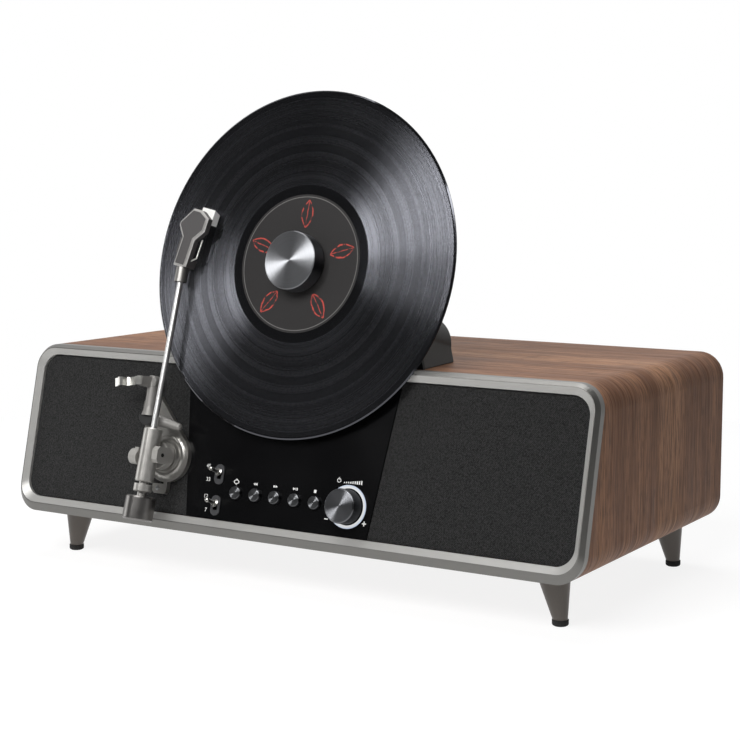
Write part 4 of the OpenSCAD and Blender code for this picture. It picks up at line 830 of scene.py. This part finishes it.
class RECORDPLAYER_OT_tonearm(bpy.types.Operator):
    """Finishes the tonearm, its base and its rest"""
    bl_idname = "record_player.tonearm"
    bl_label = "Tonearm"

    def execute(self, context):
        edge = context.scene.record_player_sizes.edge_round
        # Zinc die casting, satin lacquered: a soft silver sheen
        satin = grained("satin die casting", "#A3A19D", "#B1AFAB", 5.0, 0.3, 0.36, 0.0,
                        metallic=0.7)
        softened("pivot_housing", "pivot_housing_rounded", satin, edge)
        # The same casting, bead blasted and left dull
        blasted = grained("bead blasted casting", "#92908C", "#9E9C98", 1.5, 0.45, 0.55, 0.0,
                          metallic=0.35)
        softened("arm_yoke", "arm_yoke_rounded", blasted, edge)
        # The same casting, tumbled: a shade darker and shinier
        tumbled = grained("tumbled die casting", "#93918D", "#9D9B97", 6.0, 0.28, 0.33, 0.0,
                          metallic=0.8)
        softened("arm_base", "arm_base_rounded", tumbled, edge)
        # The same casting, painted: a matt mid grey
        matt = grained("matt grey casting", "#7C7A77", "#868481", 3.0, 0.45, 0.55, 0.0,
                       metallic=0.4)
        for node in ("rest_post", "cue_lift_bar"):
            softened(node, node + "_rounded", matt, edge)
        # Steel, blackened: near black, with a dull shine
        yoke_screw(grained("black oxide steel", "#151515", "#1E1E1E", 0.5, 0.35, 0.45, 0.0,
                           metallic=0.6))
        paint("arm_tube", chrome_tube())
        # Spring steel, nickel plated: bright, a little hazy
        nickel = grained("nickel plated spring", "#C6C5C1", "#D4D3CE", 2.0, 0.3, 0.38, 0.0,
                         metallic=1.0)
        for node in ("rest_clip", "finger_lift"):
            paint(node, nickel)
        softened("headshell", "headshell_rounded", painted_shell(), 0.5 * edge)
        # A painted highlight: a light grey line round the shell's face, standing in for the light on its edge
        shell_rim_highlight(grained("painted edge highlight", "#A4A29F", "#B4B2AF", 0.6, 0.3, 0.4, 0.0,
                          metallic=0.6))
        # Plastic, moulded: a plain white body, and a deep red holder for the needle
        white = grained("moulded white shell", "#E4E3E0", "#ECEBE8", 1.0, 0.35, 0.45, 0.0)
        softened("cartridge", "cartridge_rounded", white, edge)
        paint("stylus", grained("red stylus holder", "#8E1A1A", "#A32020", 0.5, 0.3, 0.4, 0.0))
        # Brass, turned and gunmetal plated: a dark smooth shine
        gunmetal = grained("gunmetal plated brass", "#767472", "#7E7C7A", 6.0, 0.28, 0.32, 0.0,
                           metallic=1.0)
        softened("counterweight", "counterweight_rounded", gunmetal, edge)
        return {"FINISHED"}


class RECORDPLAYER_OT_stand(bpy.types.Operator):
    """Finishes the tower, the legs and their tips"""
    bl_idname = "record_player.stand"
    bl_label = "Tower and Legs"

    def execute(self, context):
        edge = context.scene.record_player_sizes.edge_round
        # Powder coat with a fine orange peel, grey on the housing and black on the plate
        coat = grained("powder coated tower", "#363735", "#424341", 0.9, 0.5, 0.62, 0.05)
        softened("tower_housing", "tower_housing_rounded", coat, 2 * edge)
        paint("tower_plate", grained("matte black plate", "#0C0C0C", "#141414", 0.9, 0.6, 0.75, 0.03))
        # Metallic paint, sprayed: taupe with a satin sheen
        legs = grained("satin taupe paint", "#524D49", "#5D5853", 1.0, 0.34, 0.44, 0.02,
                       metallic=0.5)
        for node in ("leg_front_left", "leg_front_right", "leg_rear_left", "leg_rear_right"):
            paint(node, legs)
        # Rubber, moulded: black and dull
        paint("leg_tips", grained("moulded rubber", "#0E0E0E", "#181818", 0.7, 0.8, 0.92, 0.05))
        return {"FINISHED"}


def area_light(name, size, watts, place, aim):
    """A soft lamp pointed at a place."""
    data = bpy.data.lights.new(name, "AREA")
    data.shape = "RECTANGLE"
    data.size, data.size_y = size
    data.energy = watts
    lamp = bpy.data.objects.new(name, data)
    bpy.context.scene.collection.objects.link(lamp)
    lamp.location = place
    lamp.rotation_euler = (Vector(aim) - Vector(place)).to_track_quat("-Z", "Y").to_euler()


class RECORDPLAYER_OT_stage(bpy.types.Operator):
    """Sets the camera, the lamps, the world and the floor"""
    bl_idname = "record_player.stage"
    bl_label = "Stage"

    def execute(self, context):
        scene = context.scene
        scene.view_settings.view_transform = "Standard"
        data = bpy.data.cameras.new("camera")
        data.sensor_width = SENSOR_MM
        data.sensor_fit = "HORIZONTAL"
        data.lens = LENS_MM
        data.clip_start = 0.05
        camera = bpy.data.objects.new("camera", data)
        scene.collection.objects.link(camera)
        camera.location = FACE_FOOT + EYE
        back = Vector((math.sin(VIEW_AZIMUTH) * math.cos(VIEW_ELEVATION),
                       -math.cos(VIEW_AZIMUTH) * math.cos(VIEW_ELEVATION),
                       math.sin(VIEW_ELEVATION)))
        camera.rotation_euler = back.to_track_quat("Z", "Y").to_euler()
        scene.camera = camera

        world = bpy.data.worlds.new("studio")
        scene.world = world
        world.use_nodes = True
        tree = world.node_tree
        path = put(tree, "LightPath").node.outputs
        seen = put(tree, "Math MAXIMUM", path["Is Camera Ray"], path["Is Transmission Ray"])
        x, y, _ = put(tree, "SeparateXYZ", put(tree, "TexCoord", out="Generated")).node.outputs
        # The studio is open and white behind and to the left, and dim behind the camera
        lean = put(tree, "Math SUBTRACT", y, put(tree, "Math MULTIPLY", x, 0.9))
        mirrored = put(tree, "MapRange SMOOTHSTEP", lean, 0.1, 0.8, 0.06, 0.9)
        shown = put(tree, "Math MULTIPLY", path["Is Glossy Ray"], mirrored)
        plain = put(tree, "Math SUBTRACT", 1.0, path["Is Glossy Ray"])
        level = put(tree, "Math ADD", shown, put(tree, "Math MULTIPLY", plain, 0.05))
        shine = tree.nodes["Background"].inputs
        feed(tree, shine["Color"], rgba("#FFFFFF"))
        feed(tree, shine["Strength"], put(tree, "Math MAXIMUM", level, seen))

        bpy.ops.object.select_all(action="DESELECT")
        bpy.ops.mesh.primitive_circle_add(vertices=96, radius=FLOOR_R, fill_type="NGON",
                                          location=(0, 0, 0))
        floor = context.object
        floor.name = "floor"
        # Painted floor, dull, which shows itself as near white and keeps the object's shadow
        mat, tree = new_material("pale studio floor")
        tone = put(tree, "Mix RGBA", speckle(tree, 400, detail=1.0), rgba("#F4F4F4"), rgba("#F8F8F8"))
        dress(mat, {"Base Color": tone, "Roughness": 0.8, "Specular IOR Level": 0.1})
        path = put(tree, "LightPath").node.outputs
        passed = put(tree, "Math MAXIMUM", path["Is Glossy Ray"], path["Is Transmission Ray"])
        seen = put(tree, "Math MAXIMUM", path["Is Camera Ray"], passed)
        both = put(tree, "MixShader", put(tree, "Math MULTIPLY", seen, 0.8),
                   tree.nodes["Principled BSDF"].outputs[0], put(tree, "Emission", Strength=1.08))
        feed(tree, tree.nodes["Material Output"].inputs["Surface"], both)
        floor.data.materials.append(mat)

        for lamp in LAMPS:
            area_light(*lamp)
        return {"FINISHED"}


class RECORDPLAYER_PT_panel(bpy.types.Panel):
    """Lists the steps that finish the record player"""
    bl_label = "Record Player"
    bl_idname = "RECORDPLAYER_PT_panel"
    bl_space_type = "VIEW_3D"
    bl_region_type = "UI"
    bl_category = "Record Player"

    def draw(self, context):
        for step in STEPS:
            self.layout.operator(step.bl_idname)
        for group in (context.scene.record_player_colours, context.scene.record_player_sizes):
            for name in group.__annotations__:
                self.layout.prop(group, name)


STEPS = (
    RECORDPLAYER_OT_stage,
    RECORDPLAYER_OT_cabinet,
    RECORDPLAYER_OT_rear,
    RECORDPLAYER_OT_controls,
    RECORDPLAYER_OT_print,
    RECORDPLAYER_OT_record,
    RECORDPLAYER_OT_tonearm,
    RECORDPLAYER_OT_stand,
)
CLASSES = (RecordPlayerColours, RecordPlayerSizes, *STEPS, RECORDPLAYER_PT_panel)


def register():
    for cls in CLASSES:
        bpy.utils.register_class(cls)
    bpy.types.Scene.record_player_colours = bpy.props.PointerProperty(type=RecordPlayerColours)
    bpy.types.Scene.record_player_sizes = bpy.props.PointerProperty(type=RecordPlayerSizes)


def unregister():
    del bpy.types.Scene.record_player_sizes
    del bpy.types.Scene.record_player_colours
    for cls in reversed(CLASSES):
        bpy.utils.unregister_class(cls)


def main():
    register()
    bpy.ops.record_player.stage()
    bpy.ops.record_player.cabinet()
    bpy.ops.record_player.rear()
    bpy.ops.record_player.controls()
    bpy.ops.record_player.print()
    bpy.ops.record_player.record()
    bpy.ops.record_player.tonearm()
    bpy.ops.record_player.stand()


if __name__ == "__main__":
    main()
